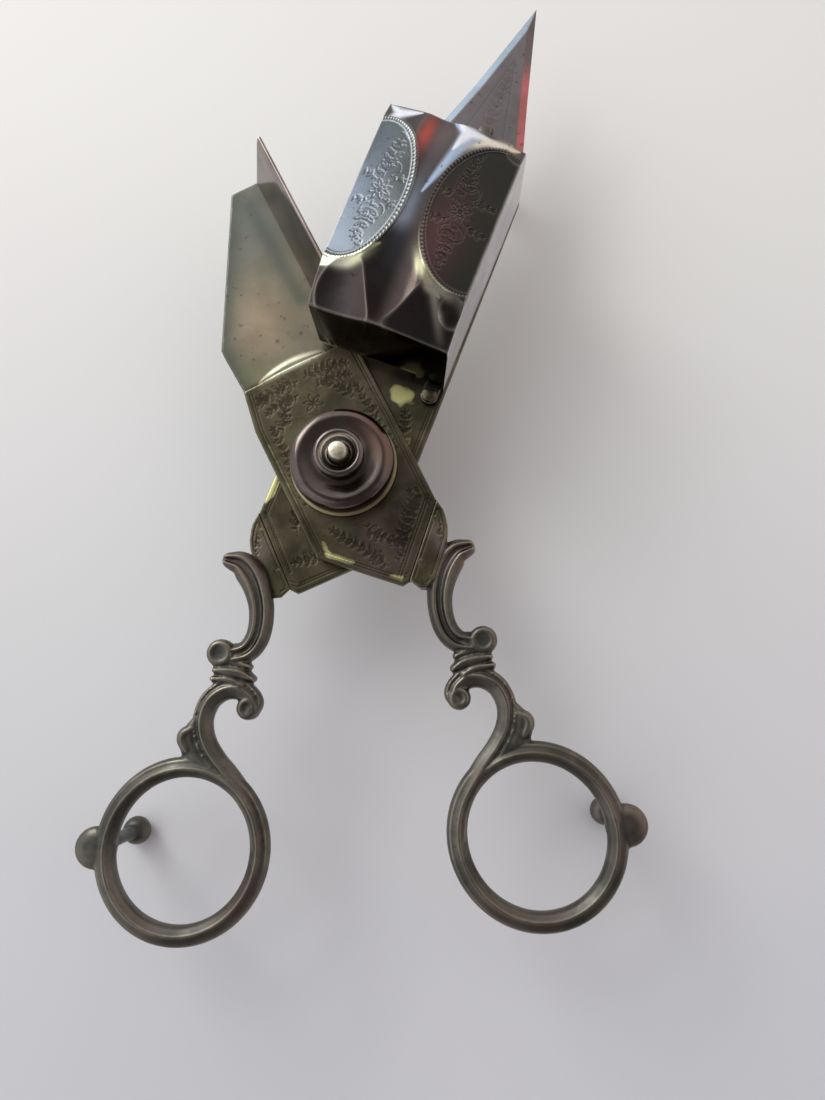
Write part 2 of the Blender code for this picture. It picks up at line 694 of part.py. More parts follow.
def spring_sleeve(frame, paint):
    return washer("spring_sleeve", PIVOT_HOLE_R, SLEEVE_R, DRUM_LOW_Z,
                  DRUM_LOW_Z + SLEEVE_HEIGHT, frame, paint)


def spiral_spring(frame, paint):
    """Flat strip wound in a spiral between the sleeve and the drum's wall."""
    low = DRUM_LOW_Z + 0.2
    high = low + SPRING_HEIGHT
    start, end = SPRING_RADII
    steps = round(SPRING_TURNS * SPRING_STEPS)
    verts = []
    for i in range(steps + 1):
        turn = 2 * math.pi * SPRING_TURNS * i / steps
        radius = start + (end - start) * i / steps
        for r, z in ((radius, low), (radius + SPRING_STRIP, low),
                     (radius + SPRING_STRIP, high), (radius, high)):
            verts.append((r * math.cos(turn), r * math.sin(turn), z))
    faces = [(0, 1, 2, 3), (4 * steps, 4 * steps + 1, 4 * steps + 2, 4 * steps + 3)]
    for i in range(steps):
        for k in range(4):
            n = (k + 1) % 4
            faces.append((4 * i + k, 4 * i + n, 4 * i + 4 + n, 4 * i + 4 + k))
    return finish(mesh_object("spiral_spring", verts, faces, frame, paint))


def arm_frame(name, angle):
    """An empty on the pivot's axis that carries one arm."""
    empty = bpy.data.objects.new(name, None)
    bpy.context.scene.collection.objects.link(empty)
    empty.matrix_world = (Matrix.Translation(Vector((*PIVOT, 0)) * MM)
                          @ Matrix.Rotation(math.radians(angle), 4, "Z"))
    return empty


def build():
    clear_scene()
    plate = material("tarnished_plate", (0.16, 0.13, 0.075), 0.35)
    tray_metal = material("tarnished_plate_press_arm", (0.19, 0.15, 0.09), 0.35)
    bronze = material("dark_casting", (0.085, 0.065, 0.05), 0.38)
    box_metal = material("box_mirror_plate", (0.12, 0.10, 0.10), 0.16)
    press_metal = material("press_mirror_plate", (0.30, 0.28, 0.26), 0.15)
    drum_metal = material("drum_plate", (0.15, 0.12, 0.11), 0.22)
    brass = material("worn_brass", (0.62, 0.50, 0.28), 0.28)
    steel = material("blued_steel", (0.12, 0.13, 0.16), 0.3)

    box_arm = arm_frame("box_arm_frame", -ARM_ANGLE)
    press_arm = arm_frame("press_arm_frame", ARM_ANGLE)

    box_arm_blade(box_arm, plate)
    box_shell(box_arm, box_metal)
    box_rivet("box_rivet_rear", REAR_LUG, box_arm, brass)
    box_rivet("box_rivet_front", FRONT_LUG, box_arm, brass)
    handle("box_arm_handle", -1, LOWER_PLATE_Z, box_arm, bronze)
    ring_foot("box_arm_ring_foot", -1, box_arm, bronze)
    front_foot("front_foot", box_arm, bronze)

    press_arm_blade(press_arm, tray_metal)
    press_plate(press_arm, press_metal)
    for end, place in zip(("rear", "front"), press_rivet_places()):
        press_rivet("press_rivet_" + end, place, press_arm, brass)
    handle("press_arm_handle", 1, UPPER_PLATE_Z, press_arm, bronze)
    ring_foot("press_arm_ring_foot", 1, press_arm, bronze)

    for place, end in zip(cuff_rivet_places(), ("upper", "lower")):
        cuff_rivet("box_arm_cuff_rivet_" + end, -1, place, LOWER_PLATE_Z, box_arm, brass)
        cuff_rivet("press_arm_cuff_rivet_" + end, 1, place, UPPER_PLATE_Z, press_arm, brass)

    pivot_pin(box_arm, brass)
    washer_top = LOWER_PLATE_Z[0] - GAP
    washer("lower_washer", PIVOT_HOLE_R, LOWER_WASHER[0], washer_top - LOWER_WASHER[1],
           washer_top, box_arm, steel)
    washer("middle_washer", PIVOT_HOLE_R, MIDDLE_WASHER_R, *WASHER_Z, press_arm, steel)
    drum_base(press_arm, brass)
    spring_sleeve(box_arm, steel)
    spiral_spring(press_arm, steel)
    spring_drum(press_arm, drum_metal)
    drum_collar(box_arm, drum_metal)


build()
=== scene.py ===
"""The looks of a pair of candle snuffers (wick trimmer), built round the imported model.

Shapes are made in millimetres in each arm's own frame, as in the model: the pivot at
x = y = 0, +Y along the blade towards its tip, and z = 0 on the table. The press arm's handle
leans to +x and the box arm's is its mirror image. place() turns them into the shared frame.
"""
import json
import math
import random

import bmesh
import bpy
import numpy as np
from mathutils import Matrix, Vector, geometry, kdtree


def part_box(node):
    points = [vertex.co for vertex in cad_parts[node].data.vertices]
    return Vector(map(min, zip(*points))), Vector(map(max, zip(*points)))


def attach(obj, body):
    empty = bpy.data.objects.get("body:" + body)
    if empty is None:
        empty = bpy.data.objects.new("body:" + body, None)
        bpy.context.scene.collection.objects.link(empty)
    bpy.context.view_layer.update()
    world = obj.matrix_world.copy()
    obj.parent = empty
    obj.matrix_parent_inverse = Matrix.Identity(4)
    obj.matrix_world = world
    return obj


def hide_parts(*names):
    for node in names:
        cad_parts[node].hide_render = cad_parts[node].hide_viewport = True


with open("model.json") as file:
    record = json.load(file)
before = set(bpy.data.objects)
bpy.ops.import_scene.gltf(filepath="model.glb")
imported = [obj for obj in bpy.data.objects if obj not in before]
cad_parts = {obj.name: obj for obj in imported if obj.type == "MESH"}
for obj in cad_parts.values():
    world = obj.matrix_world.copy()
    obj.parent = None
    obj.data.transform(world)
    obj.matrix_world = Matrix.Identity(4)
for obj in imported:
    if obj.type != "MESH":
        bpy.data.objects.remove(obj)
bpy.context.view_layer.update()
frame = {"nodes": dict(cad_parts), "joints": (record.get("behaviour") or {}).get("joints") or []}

MM = 0.001
ARM_TURN = {"box_arm": -24.0, "press_arm": 24.0}
PIVOT = Vector(frame["joints"][0]["pos_m"])


def levels(node):
    """A CAD node's lowest and highest point, in millimetres."""
    low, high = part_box(node)
    return low.z / MM, high.z / MM


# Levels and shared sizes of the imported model.
LOWER_PLATE = levels("box_arm_blade")
UPPER_TOP = levels("press_arm_blade")[1]
UPPER_THICK = 1.2
TRAY_DROP = 0.95
CAST_MID = 18.0
CAST_HALF = 1.8
HALF_WIDTH = 10.8
GABLE_TIP = (0.4, -22.4)
SHOULDER_Y = -12.0
CUFF_SEAM = 16.3
SEAM_GAP = 0.06
LAP = 0.7
PIVOT_HOLE_R = 1.9
LAP_REACH = 1.4
SEAM_STEP = 0.05
PLATE_STEP = 0.19
EDGE_ROWS = (0.1, 0.22)
EDGE_RADIUS = 0.22
ENGRAVING_HALF = 0.12
BEVEL_WIDTH = 1.45
BEVEL_DROP = 0.42
TIP_START_Y = 57.0

# Box.
OPEN_X = (-11.7, -13.6)
RIGHT_X = 10.5
REAR_Y = (18.3, 20.8)
FRONT_LEFT_Y = (56.6, 57.6)
FRONT_RIGHT_Y = (55.9, 56.6)
BOX_RIDGE = levels("box_shell")[1]
BOX_FLOOR = levels("box_shell")[0]
SHELL_THICK = 0.6
SLOT_TOP = 20.5
SLOT_END_X = 5.6
LEFT_OVAL = ((-12.0, 41.6), (7.7, 13.0))
RIGHT_OVAL = ((8.4, 42.0), (9.2, 13.0))
REAR_LUG = (8.6, 16.7)
FRONT_LUG = (6.0, 58.2)
PRESS_RIVETS = ((10.5, 28.1), (10.5, 48.7))
ROOF_COLUMNS = 170
ROOF_ROWS = 266
WALL_ROWS = 16

# Handles.
RING_CENTRE = (0.8, -66.2)
RING_INNER = (10.6, 11.1)
KNOB = (13.3, -70.6)
BOSS = (13.75, -71.0)
BOSS_R = 3.28
CAST_VOXEL = 0.21

FRONT_FOOT = (0.0, 67.0)
TIP_Y = 94.3


# Meshes ------------------------------------------------------------------------------

def place(points, body):
    """Points in an arm's own frame and millimetres, in the shared frame and metres."""
    turn = math.radians(ARM_TURN[body])
    x, y, z = np.asarray(points, float).T
    return np.stack([PIVOT.x + MM * (x * math.cos(turn) - y * math.sin(turn)),
                     PIVOT.y + MM * (x * math.sin(turn) + y * math.cos(turn)),
                     MM * z], axis=1)


def linked(name, data):
    """A new object in the scene."""
    obj = bpy.data.objects.new(name, data)
    bpy.context.scene.collection.objects.link(obj)
    return obj


def vectors(mesh, name):
    """A vector property of each vertex, one row each."""
    values = np.empty(len(mesh.vertices) * 3, np.float32)
    mesh.vertices.foreach_get(name, values)
    return values.reshape(-1, 3)


def face_outward(mesh):
    """Turns every face's front outward."""
    bm = bmesh.new()
    bm.from_mesh(mesh)
    bmesh.ops.recalc_face_normals(bm, faces=bm.faces)
    bm.to_mesh(mesh)
    bm.free()


def modified(obj):
    """The mesh that an object's modifiers make. The object itself is removed."""
    bpy.context.view_layer.update()
    graph = bpy.context.evaluated_depsgraph_get()
    mesh = bpy.data.meshes.new_from_object(obj.evaluated_get(graph))
    bpy.data.objects.remove(obj)
    return mesh


def edge_pairs(mesh):
    pairs = np.empty(len(mesh.edges) * 2, np.int32)
    mesh.edges.foreach_get("vertices", pairs)
    return pairs.reshape(-1, 2)


def neighbour_mean(values, pairs, count):
    """The mean of each vertex's neighbours."""
    total = np.zeros((count, values.shape[1]))
    np.add.at(total, pairs[:, 0], values[pairs[:, 1]])
    np.add.at(total, pairs[:, 1], values[pairs[:, 0]])
    valence = np.bincount(pairs.ravel(), minlength=count)
    return total / np.maximum(valence, 1)[:, None]


def mark(mesh, name, values):
    attribute = mesh.attributes.new(name, "FLOAT", "POINT")
    attribute.data.foreach_set("value", np.asarray(values, np.float32))


def mark_relief(mesh, wear_gain, ink):
    """Stores how far each point stands out as wear, and how far it lies in as cavity."""
    count = len(mesh.vertices)
    co = vectors(mesh, "co").astype(float) / MM
    normal = vectors(mesh, "normal")
    pairs = edge_pairs(mesh)
    reach = np.linalg.norm(co[pairs[:, 0]] - co[pairs[:, 1]], axis=1)
    squares = np.zeros(count)
    np.add.at(squares, pairs[:, 0], reach ** 2)
    np.add.at(squares, pairs[:, 1], reach ** 2)
    squares /= np.maximum(np.bincount(pairs.ravel(), minlength=count), 1)
    out = ((co - neighbour_mean(co, pairs, count)) * normal).sum(1)
    bend = (out / np.maximum(squares, 1e-6))[:, None]
    bend = 0.4 * bend + 0.6 * neighbour_mean(bend, pairs, count)
    bend = bend[:, 0] * wear_gain
    mark(mesh, "wear", np.clip(bend, 0, 1))
    hollow = np.clip(-bend, 0, 1)
    mark(mesh, "cavity", hollow if ink is None else np.maximum(hollow, ink))


def piece(node, body, paint, points, faces, sharp, gain, brass=None, zones=None,
          ending="_fine", ink=None):
    """A finished piece that rides on a body and stands for the CAD node of that name.

    Folds above sharp degrees stay sharp. gain is how strongly its relief shows as wear and
    dark hollows, and ink, brass and zones say where it is dark, bare or tinted; the zones also
    hold painted highlights, reflections and shade.
    """
    mesh = bpy.data.meshes.new(node + "_fine")
    mesh.from_pydata(place(points, body).tolist(), [], faces)
    face_outward(mesh)
    mesh.shade_smooth()
    mesh.set_sharp_from_angle(angle=math.radians(sharp))
    mark_relief(mesh, gain, ink)
    if brass is not None:
        mark(mesh, "brass", brass)
    if zones is not None:
        tint = mesh.attributes.new("paint", "FLOAT_COLOR", "POINT")
        tint.data.foreach_set("color", zones.colours.astype(np.float32).ravel())
        mark(mesh, "painted", zones.strength)
    obj = linked(node + ending, mesh)
    mesh.materials.append(paint)
    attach(obj, body)
    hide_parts(node)


def inside(points, loop):
    """Which of the points lie inside a closed loop."""
    x, y = points[:, 0], points[:, 1]
    within = np.zeros(len(points), bool)
    for (x1, y1), (x2, y2) in zip(loop, np.roll(loop, -1, axis=0)):
        if y1 == y2:
            continue
        crosses = ((y1 > y) != (y2 > y)) & (x < (x2 - x1) * (y - y1) / (y2 - y1) + x1)
        within ^= crosses
    return within


def segment_distance(points, starts, ends):
    """Each point's distance to the nearest of some segments."""
    nearest = np.full(len(points), 1e9)
    for a, b in zip(starts, ends):
        d = b - a
        t = np.clip(((points - a) @ d) / max(d @ d, 1e-12), 0, 1)
        gap = points - a - t[:, None] * d
        nearest = np.minimum(nearest, np.hypot(gap[:, 0], gap[:, 1]))
    return nearest


def loop_distance(points, loop):
    return segment_distance(points, loop, np.roll(loop, -1, axis=0))


def resampled(loop, step):
    """The loop with its corners kept and its sides cut to about one step."""
    out = []
    for a, b in zip(loop, np.roll(loop, -1, axis=0)):
        parts = max(1, round(np.linalg.norm(b - a) / step))
        out += [a + (b - a) * i / parts for i in range(parts)]
    return np.array(out)


def circle(centre, radius, count=24):
    turns = np.arange(count) * 2 * math.pi / count
    return np.stack([centre[0] + radius * np.cos(turns),
                     centre[1] + radius * np.sin(turns)], axis=1)


def filled(outline, holes, spacing, creases=()):
    """Points and triangles that fill an outline, with close rows along its edges.

    creases are straight lines that triangle edges follow, so that a step there is crisp.
    """
    loops = [resampled(np.array(loop, float), spacing * 1.6) for loop in [outline] + holes]
    coords, edges = [], []
    for loop in loops:
        first = len(coords)
        coords += list(loop)
        edges += [(first + i, first + (i + 1) % len(loop)) for i in range(len(loop))]
    rim = np.array(coords)
    for line in creases:
        parts = max(1, int(np.linalg.norm(line[1] - line[0]) / spacing))
        run = line[0] + (line[1] - line[0]) * np.linspace(0, 1, parts + 1)[:, None]
        run = run[inside(run, loops[0])]
        first = len(coords)
        coords += list(run)
        edges += [(first + i, first + i + 1) for i in range(len(run) - 1)]
    starts = np.array([line[0] for line in creases]).reshape(-1, 2)
    ends = np.array([line[1] for line in creases]).reshape(-1, 2)

    def clear(points, distance):
        keep = inside(points, loops[0])
        for hole in loops[1:]:
            keep &= ~inside(points, hole)
        points = points[keep]
        for loop in loops:
            points = points[loop_distance(points, loop) > distance]
        return points[segment_distance(points, starts, ends) > 0.06]

    for row in EDGE_ROWS:
        for loop in loops:
            ahead = np.roll(loop, -1, axis=0) - np.roll(loop, 1, axis=0)
            normal = np.stack([-ahead[:, 1], ahead[:, 0]], axis=1)
            normal /= np.linalg.norm(normal, axis=1)[:, None]
            for sign in (1, -1):
                coords += list(clear(loop + sign * normal * row, row * 0.9))
    low, high = rim.min(0), rim.max(0)
    xs = np.arange(low[0], high[0], spacing)
    ys = np.arange(low[1], high[1], spacing * 0.87)
    grid = np.array([(x + (j % 2) * spacing / 2, y) for j, y in enumerate(ys) for x in xs])
    coords += list(clear(grid, EDGE_ROWS[-1] + spacing * 0.5))
    flat = [Vector((float(x), float(y))) for x, y in coords]
    verts, _, faces, _, _, _ = geometry.delaunay_2d_cdt(flat, edges, [], 1, 1e-5)
    points = np.array([(v.x, v.y) for v in verts])
    faces = np.array(faces)
    middle = points[faces].mean(1)
    keep = inside(middle, loops[0])
    for hole in loops[1:]:
        keep &= ~inside(middle, hole)
    faces = faces[keep]
    a, b, c = (points[faces[:, k]] for k in range(3))
    area = ((b - a)[:, 0] * (c - a)[:, 1] - (b - a)[:, 1] * (c - a)[:, 0])
    faces[area < 0] = faces[area < 0][:, ::-1]
    used = np.unique(faces)
    index = np.full(len(points), -1)
    index[used] = np.arange(len(used))
    return points[used], index[faces], loops


def plate_solid(points, faces, top, bottom):
    """A closed solid between two heights over the same triangles."""
    count = len(points)
    verts = np.concatenate([np.column_stack([points, top]),
                            np.column_stack([points, bottom])])
    sides = {}
    for a, b, c in faces.tolist():
        for edge in ((a, b), (b, c), (c, a)):
            sides[edge] = True
    walls = [(b, a, a + count, b + count) for a, b in sides if (b, a) not in sides]
    all_faces = faces.tolist() + (faces[:, ::-1] + count).tolist() + walls
    return verts, all_faces


def rounded_edge(distance, radius):
    """How far a surface falls towards an edge with a small radius."""
    near = np.clip(radius - distance, 0, radius)
    return radius - np.sqrt(radius ** 2 - near ** 2)


def smoothstep(t):
    t = np.clip(t, 0, 1)
    return t * t * (3 - 2 * t)


# Engraving ---------------------------------------------------------------------------

def smooth_line(points, steps):
    """Points on a smooth curve through the given ones, in any number of dimensions."""
    rows = [np.array(p, float) for p in points]
    rows = [2 * rows[0] - rows[1]] + rows + [2 * rows[-1] - rows[-2]]
    out = []
    for i in range(1, len(rows) - 2):
        p0, p1, p2, p3 = rows[i - 1:i + 3]
        for k in range(steps):
            t = k / steps
            out.append((2 * p1 + (p2 - p0) * t + (2 * p0 - 5 * p1 + 4 * p2 - p3) * t ** 2
                        + (3 * p1 - p0 - 3 * p2 + p3) * t ** 3) / 2)
    out.append(rows[-2])
    return np.array(out)


def curl(start, heading, length, bend, steps=9):
    """A line that sets off at a heading in degrees and turns evenly by bend degrees."""
    line = [np.array(start, float)]
    for i in range(steps):
        turn = math.radians(heading + bend * (i + 0.5) / steps)
        line.append(line[-1] + length / steps * np.array([math.cos(turn), math.sin(turn)]))
    return np.array(line)


def flower(centre, radius, petals, turn=0.0):
    """Petal loops round a small middle."""
    lines = [circle(centre, radius * 0.2, 8)]
    for k in range(petals):
        heading = turn + 360 * k / petals
        for side in (-1, 1):
            lines.append(curl(centre, heading - side * 34, radius * 1.1, side * 68, 7))
    return lines


def engraved_leaf(at, heading, size):
    """Two arcs that meet in a point, with a short vein."""
    return [curl(at, heading + 34, size, -68, 7), curl(at, heading - 34, size, 68, 7),
            curl(at, heading, size * 0.6, 8, 4)]


def sprig(start, heading, length, bend, leaf, chance, leaves=6):
    """A stem with leaves on both sides, tendrils between them and a flower at its end."""
    stem = curl(start, heading, length, bend, 4 * leaves)
    lines = [stem]
    for k in range(1, leaves):
        at = stem[4 * k]
        along = heading + bend * k / leaves
        size = leaf * (1.1 - 0.5 * k / leaves) * chance.uniform(0.85, 1.15)
        for side in (-1, 1):
            lines += engraved_leaf(at, along + side * chance.uniform(40, 60), size)
            if (k + side) % 3 == 0:
                lines.append(curl(at, along + side * 85, size * 1.3, -side * 230, 12))
            else:
                lines += engraved_leaf(stem[4 * k - 2], along + side * 75, size * 0.6)
    lines += flower(stem[-1], leaf * 0.4, 5, heading + bend)
    return lines


def carved(points, lines, half_width, depth):
    """How deep engraved lines cut at each point."""
    spots = []
    for line in lines:
        line = np.asarray(line)
        for a, b in zip(line[:-1], line[1:]):
            parts = max(1, int(np.linalg.norm(b - a) / 0.07))
            spots += [a + (b - a) * i / parts for i in range(parts)]
    tree = kdtree.KDTree(len(spots))
    for i, spot in enumerate(spots):
        tree.insert((float(spot[0]), float(spot[1]), 0.0), i)
    tree.balance()
    reach = np.array([tree.find((float(x), float(y), 0.0))[2] for x, y in points])
    return depth * np.clip(1 - (reach / half_width) ** 2, 0, 1)


def only_inside(lines, keep):
    """Cuts lines into the runs whose points pass a test."""
    out = []
    for line in lines:
        run = []
        for point in np.asarray(line):
            if keep(point[None])[0]:
                run.append(point)
                continue
            if len(run) > 1:
                out.append(np.array(run))
            run = []
        if len(run) > 1:
            out.append(np.array(run))
    return out


# Materials ---------------------------------------------------------------------------

class Nodes:
    """Short names for building a node tree."""

    def __init__(self, name):
        self.material = bpy.data.materials.new(name)
        self.material.use_nodes = True
        self.tree = self.material.node_tree
        self.shader = self.tree.nodes["Principled BSDF"]

    def add(self, kind, **settings):
        node = self.tree.nodes.new(kind)
        for key, value in settings.items():
            setattr(node, key, value)
        return node

    def link(self, source, target):
        self.tree.links.new(source, target)

    def noise(self, vector, scale, detail=3.0, rough=0.5, distortion=0.0):
        node = self.add("ShaderNodeTexNoise")
        node.inputs["Scale"].default_value = scale
        node.inputs["Detail"].default_value = detail
        node.inputs["Roughness"].default_value = rough
        node.inputs["Distortion"].default_value = distortion
        self.link(vector, node.inputs["Vector"])
        return node.outputs["Fac"]

    def between(self, value, low, high, to_low=0.0, to_high=1.0):
        node = self.add("ShaderNodeMapRange", clamp=True, interpolation_type="SMOOTHSTEP")
        self.link(value, node.inputs["Value"])
        for name, number in (("From Min", low), ("From Max", high),
                             ("To Min", to_low), ("To Max", to_high)):
            node.inputs[name].default_value = number
        return node.outputs["Result"]

    def maths(self, operation, a, b):
        node = self.add("ShaderNodeMath", operation=operation, use_clamp=True)
        for socket, value in zip(node.inputs, (a, b)):
            if isinstance(value, (int, float)):
                socket.default_value = value
            else:
                self.link(value, socket)
        return node.outputs[0]

    def mix(self, factor, a, b):
        node = self.add("ShaderNodeMix", data_type="RGBA")
        self.link(factor, node.inputs["Factor"])
        for socket, value in ((node.inputs[6], a), (node.inputs[7], b)):
            if isinstance(value, tuple):
                socket.default_value = (*value, 1.0)
            else:
                self.link(value, socket)
        return node.outputs[2]

    def attribute(self, name):
        return self.add("ShaderNodeAttribute", attribute_name=name).outputs["Fac"]

    def bump(self, height, strength, distance):
        node = self.add("ShaderNodeBump")
        node.inputs["Strength"].default_value = strength
        node.inputs["Distance"].default_value = distance
        self.link(height, node.inputs["Height"])
        self.link(node.outputs["Normal"], self.shader.inputs["Normal"])

    def stretched(self, vector, scale, turn):
        node = self.add("ShaderNodeMapping")
        node.inputs["Scale"].default_value = scale
        node.inputs["Rotation"].default_value = (0, 0, math.radians(turn))
        self.link(vector, node.inputs["Vector"])
        return node.outputs["Vector"]


PAINTED_DULL = 0.06


def metal(name, dark, light, edge, brass=(0.62, 0.50, 0.16), rough=(0.22, 0.42),
          tint=None, pits=0.35, scratches=0.25, cloud_scale=90.0):
    """Old plated metal: cloudy tarnish, bright worn edges, dark hollows, pits and scratches.

    The mesh's wear, cavity and brass values say where the edges, hollows and bare brass are,
    and its paint and painted values where a colour lies over the tarnish: stains and tints, and
    also painted highlights, reflections and shade.
    """
    n = Nodes(name)
    place_on = n.add("ShaderNodeTexCoord").outputs["Object"]
    clouds = n.between(n.noise(place_on, cloud_scale, 4.0, 0.62, 0.4), 0.36, 0.66)
    speck = n.noise(place_on, 900.0, 4.0, 0.6)
    fine = n.noise(place_on, 2600.0, 2.0)
    colour = n.mix(clouds, dark, light)
    if tint is not None:
        wide = n.noise(place_on, cloud_scale * 0.55, 2.0, 0.5, 0.8)
        veil = n.between(wide, 0.46, 0.66, 0.0, 0.7)
        colour = n.mix(veil, colour, tint)
    zone = n.add("ShaderNodeAttribute", attribute_name="paint")
    share = n.maths("MULTIPLY", n.attribute("painted"), n.between(clouds, 0.0, 1.0, 0.8, 1.0))
    colour = n.mix(share, colour, zone.outputs["Color"])
    spots = n.between(speck, 0.62, 0.72, 0.0, 0.55)
    colour = n.mix(spots, colour, tuple(0.45 * c for c in dark))
    ragged = n.maths("ADD", n.attribute("brass"), n.maths("MULTIPLY", speck, 0.5))
    bare = n.maths("MULTIPLY", n.attribute("brass"), n.between(ragged, 0.45, 0.75))
    colour = n.mix(bare, colour, brass)
    rubbed = n.maths("MULTIPLY", n.attribute("wear"), n.between(clouds, 0.0, 1.0, 0.65, 1.0))
    rubbed = n.maths("MULTIPLY", rubbed, n.between(speck, 0.25, 0.5, 0.5, 1.0))
    colour = n.mix(rubbed, colour, edge)
    colour = n.mix(n.attribute("cavity"), colour, tuple(0.28 * c for c in dark))
    n.link(colour, n.shader.inputs["Base Color"])
    n.shader.inputs["Metallic"].default_value = 1.0

    grain = n.between(n.noise(place_on, cloud_scale * 2.2, 3.0), 0.3, 0.7, rough[0], rough[1])
    worn = n.between(rubbed, 0.0, 1.0, 0.0, 0.12)
    dull = n.between(n.attribute("painted"), 0.0, 1.0, 0.0, PAINTED_DULL)
    n.link(n.maths("ADD", n.maths("SUBTRACT", grain, worn), dull),
           n.shader.inputs["Roughness"])

    lines = n.noise(n.stretched(place_on, (1.0, 0.03, 1.0), 31), 2200.0, 1.0)
    lines_2 = n.noise(n.stretched(place_on, (0.03, 1.0, 1.0), 17), 1800.0, 1.0)
    lines = n.maths("MULTIPLY", n.maths("ADD", lines, lines_2), scratches)
    height = n.maths("ADD", n.maths("MULTIPLY", fine, pits), lines)
    n.bump(height, 0.35, 0.00006)
    return n.material


def floor_paint():
    """Off-white paper with painted light: lighter and warmer at the top and darker and cooler
    below, where the light falls off.
    """
    n = Nodes("pale_paper")
    place_on = n.add("ShaderNodeTexCoord").outputs["Object"]
    split = n.add("ShaderNodeSeparateXYZ")
    n.link(place_on, split.inputs[0])
    along = n.between(split.outputs["Y"], -0.13, 0.10)
    clouds = n.between(n.noise(place_on, 9.0, 2.0), 0.3, 0.7)
    # Painted light falloff: the paper's colour runs from dark at the bottom to light at the top.
    colour = n.mix(along, (0.66, 0.665, 0.70), (0.90, 0.885, 0.84))
    n.link(n.mix(n.maths("MULTIPLY", clouds, 0.25), colour, (0.84, 0.80, 0.82)),
           n.shader.inputs["Base Color"])
    n.bump(n.noise(place_on, 1400.0, 2.0), 0.05, 0.0001)
    n.shader.inputs["Roughness"].default_value = 0.9
    n.shader.inputs["Specular IOR Level"].default_value = 0.2
    return n.material


BRONZE = metal("dark_bronze", (0.074, 0.070, 0.061), (0.135, 0.127, 0.107),
               (0.46, 0.38, 0.28), rough=(0.30, 0.46), tint=(0.15, 0.118, 0.10),
               cloud_scale=130)
PLATE = metal("tarnished_plate", (0.056, 0.049, 0.031), (0.124, 0.106, 0.066),
              (0.36, 0.33, 0.21), brass=(0.80, 0.76, 0.34), rough=(0.26, 0.44),
              tint=(0.115, 0.083, 0.068))
MIRROR = metal("tarnished_mirror", (0.052, 0.047, 0.045), (0.085, 0.075, 0.071),
               (0.50, 0.47, 0.40), rough=(0.10, 0.20), tint=(0.078, 0.056, 0.053),
               pits=0.12, scratches=0.12)
PRESS = metal("press_mirror", (0.16, 0.13, 0.12), (0.25, 0.21, 0.19),
              (0.75, 0.62, 0.55), rough=(0.10, 0.20), pits=0.1, scratches=0.15)
DRUM = metal("turned_plate", (0.075, 0.060, 0.053), (0.14, 0.112, 0.100),
             (0.62, 0.57, 0.54), rough=(0.13, 0.21), tint=(0.19, 0.098, 0.072),
             pits=0.15, scratches=0.1)
BRASS = metal("worn_brass", (0.56, 0.51, 0.37), (0.80, 0.75, 0.60), (0.92, 0.90, 0.78),
              rough=(0.28, 0.40))
RING_BRASS = metal("dull_brass", (0.20, 0.17, 0.10), (0.34, 0.29, 0.17),
                   (0.60, 0.55, 0.36), rough=(0.28, 0.42))
STEEL = metal("blued_steel", (0.12, 0.125, 0.15), (0.22, 0.22, 0.24), (0.4, 0.4, 0.42),
              rough=(0.2, 0.34))

# Painted shade for the inside of a hollow, such as the collar's cone.
HOLLOW_PAINTED_SHADE = (0.035, 0.032, 0.036)
TIP_GREY = (0.19, 0.165, 0.175)
# Painted reflections on the tip's bevels: blue on the left bevel, red on the right one.
BEVEL_BLUE_REFLECTION = (0.34, 0.42, 0.50)
BEVEL_RED_REFLECTION = (0.56, 0.19, 0.20)
TRAY_TAN = (0.20, 0.178, 0.132)
TRAY_GREEN = (0.17, 0.175, 0.09)
TRAY_WARM = (0.30, 0.232, 0.155)
TRAY_GREY = (0.125, 0.128, 0.112)
TRAY_DARK = (0.062, 0.076, 0.068)
TRAY_RUST = (0.11, 0.055, 0.035)
TRAY_PINK = (0.24, 0.188, 0.17)
STEP_PALE = (0.66, 0.65, 0.48)
# Painted reflections on the roof's ovals: teal and blue on the left oval, dark with a red patch
# on the right one.
LEFT_BLUE_REFLECTION = (0.12, 0.145, 0.185)
LEFT_TEAL_REFLECTION = (0.10, 0.113, 0.115)
RIGHT_DARK_REFLECTION = (0.040, 0.041, 0.034)
RIGHT_RED_REFLECTION = (0.13, 0.070, 0.066)
# Painted reflections near the roof's front end.
FRONT_RED_REFLECTION = (0.55, 0.12, 0.09)
FRONT_MAUVE_REFLECTION = (0.17, 0.125, 0.12)
# Painted reflection of the pale paper on the box's right wall.
WALL_PAPER_REFLECTION = (0.82, 0.79, 0.83)
# Painted highlights on the roof: stars where ridges meet, bands beside the ovals and lines along
# ridges.
HIGHLIGHT_WHITE = (0.96, 0.96, 1.0)
HIGHLIGHT_BLUE = (0.46, 0.56, 0.72)
HIGHLIGHT_CREAM = (0.95, 0.90, 0.74)
HIGHLIGHT_YELLOW = (0.95, 0.93, 0.58)


# Blades ------------------------------------------------------------------------------

def gable(side):
    """The pivot end of a blade, which runs under the cuff by the width of the lap."""
    edge = (CUFF_SEAM + LAP_REACH) * math.sqrt(2)
    w, low = HALF_WIDTH, GABLE_TIP[1]
    return [(-side * w, SHOULDER_Y), (-side * GABLE_TIP[0], low),
            (side * (edge + low + 0.3), low + 0.3), (side * w, w - edge)]


def seam_creases(side):
    """Two close lines along the seam, between which the blade steps down to its lap."""
    square = 1 / math.sqrt(2)
    lines = []
    for across in (CUFF_SEAM - SEAM_GAP, CUFF_SEAM - SEAM_GAP + SEAM_STEP):
        ends = [((along + across) * square * side, (along - across) * square)
                for along in (2.0, -17.0)]
        lines.append(np.array(ends))
    return lines


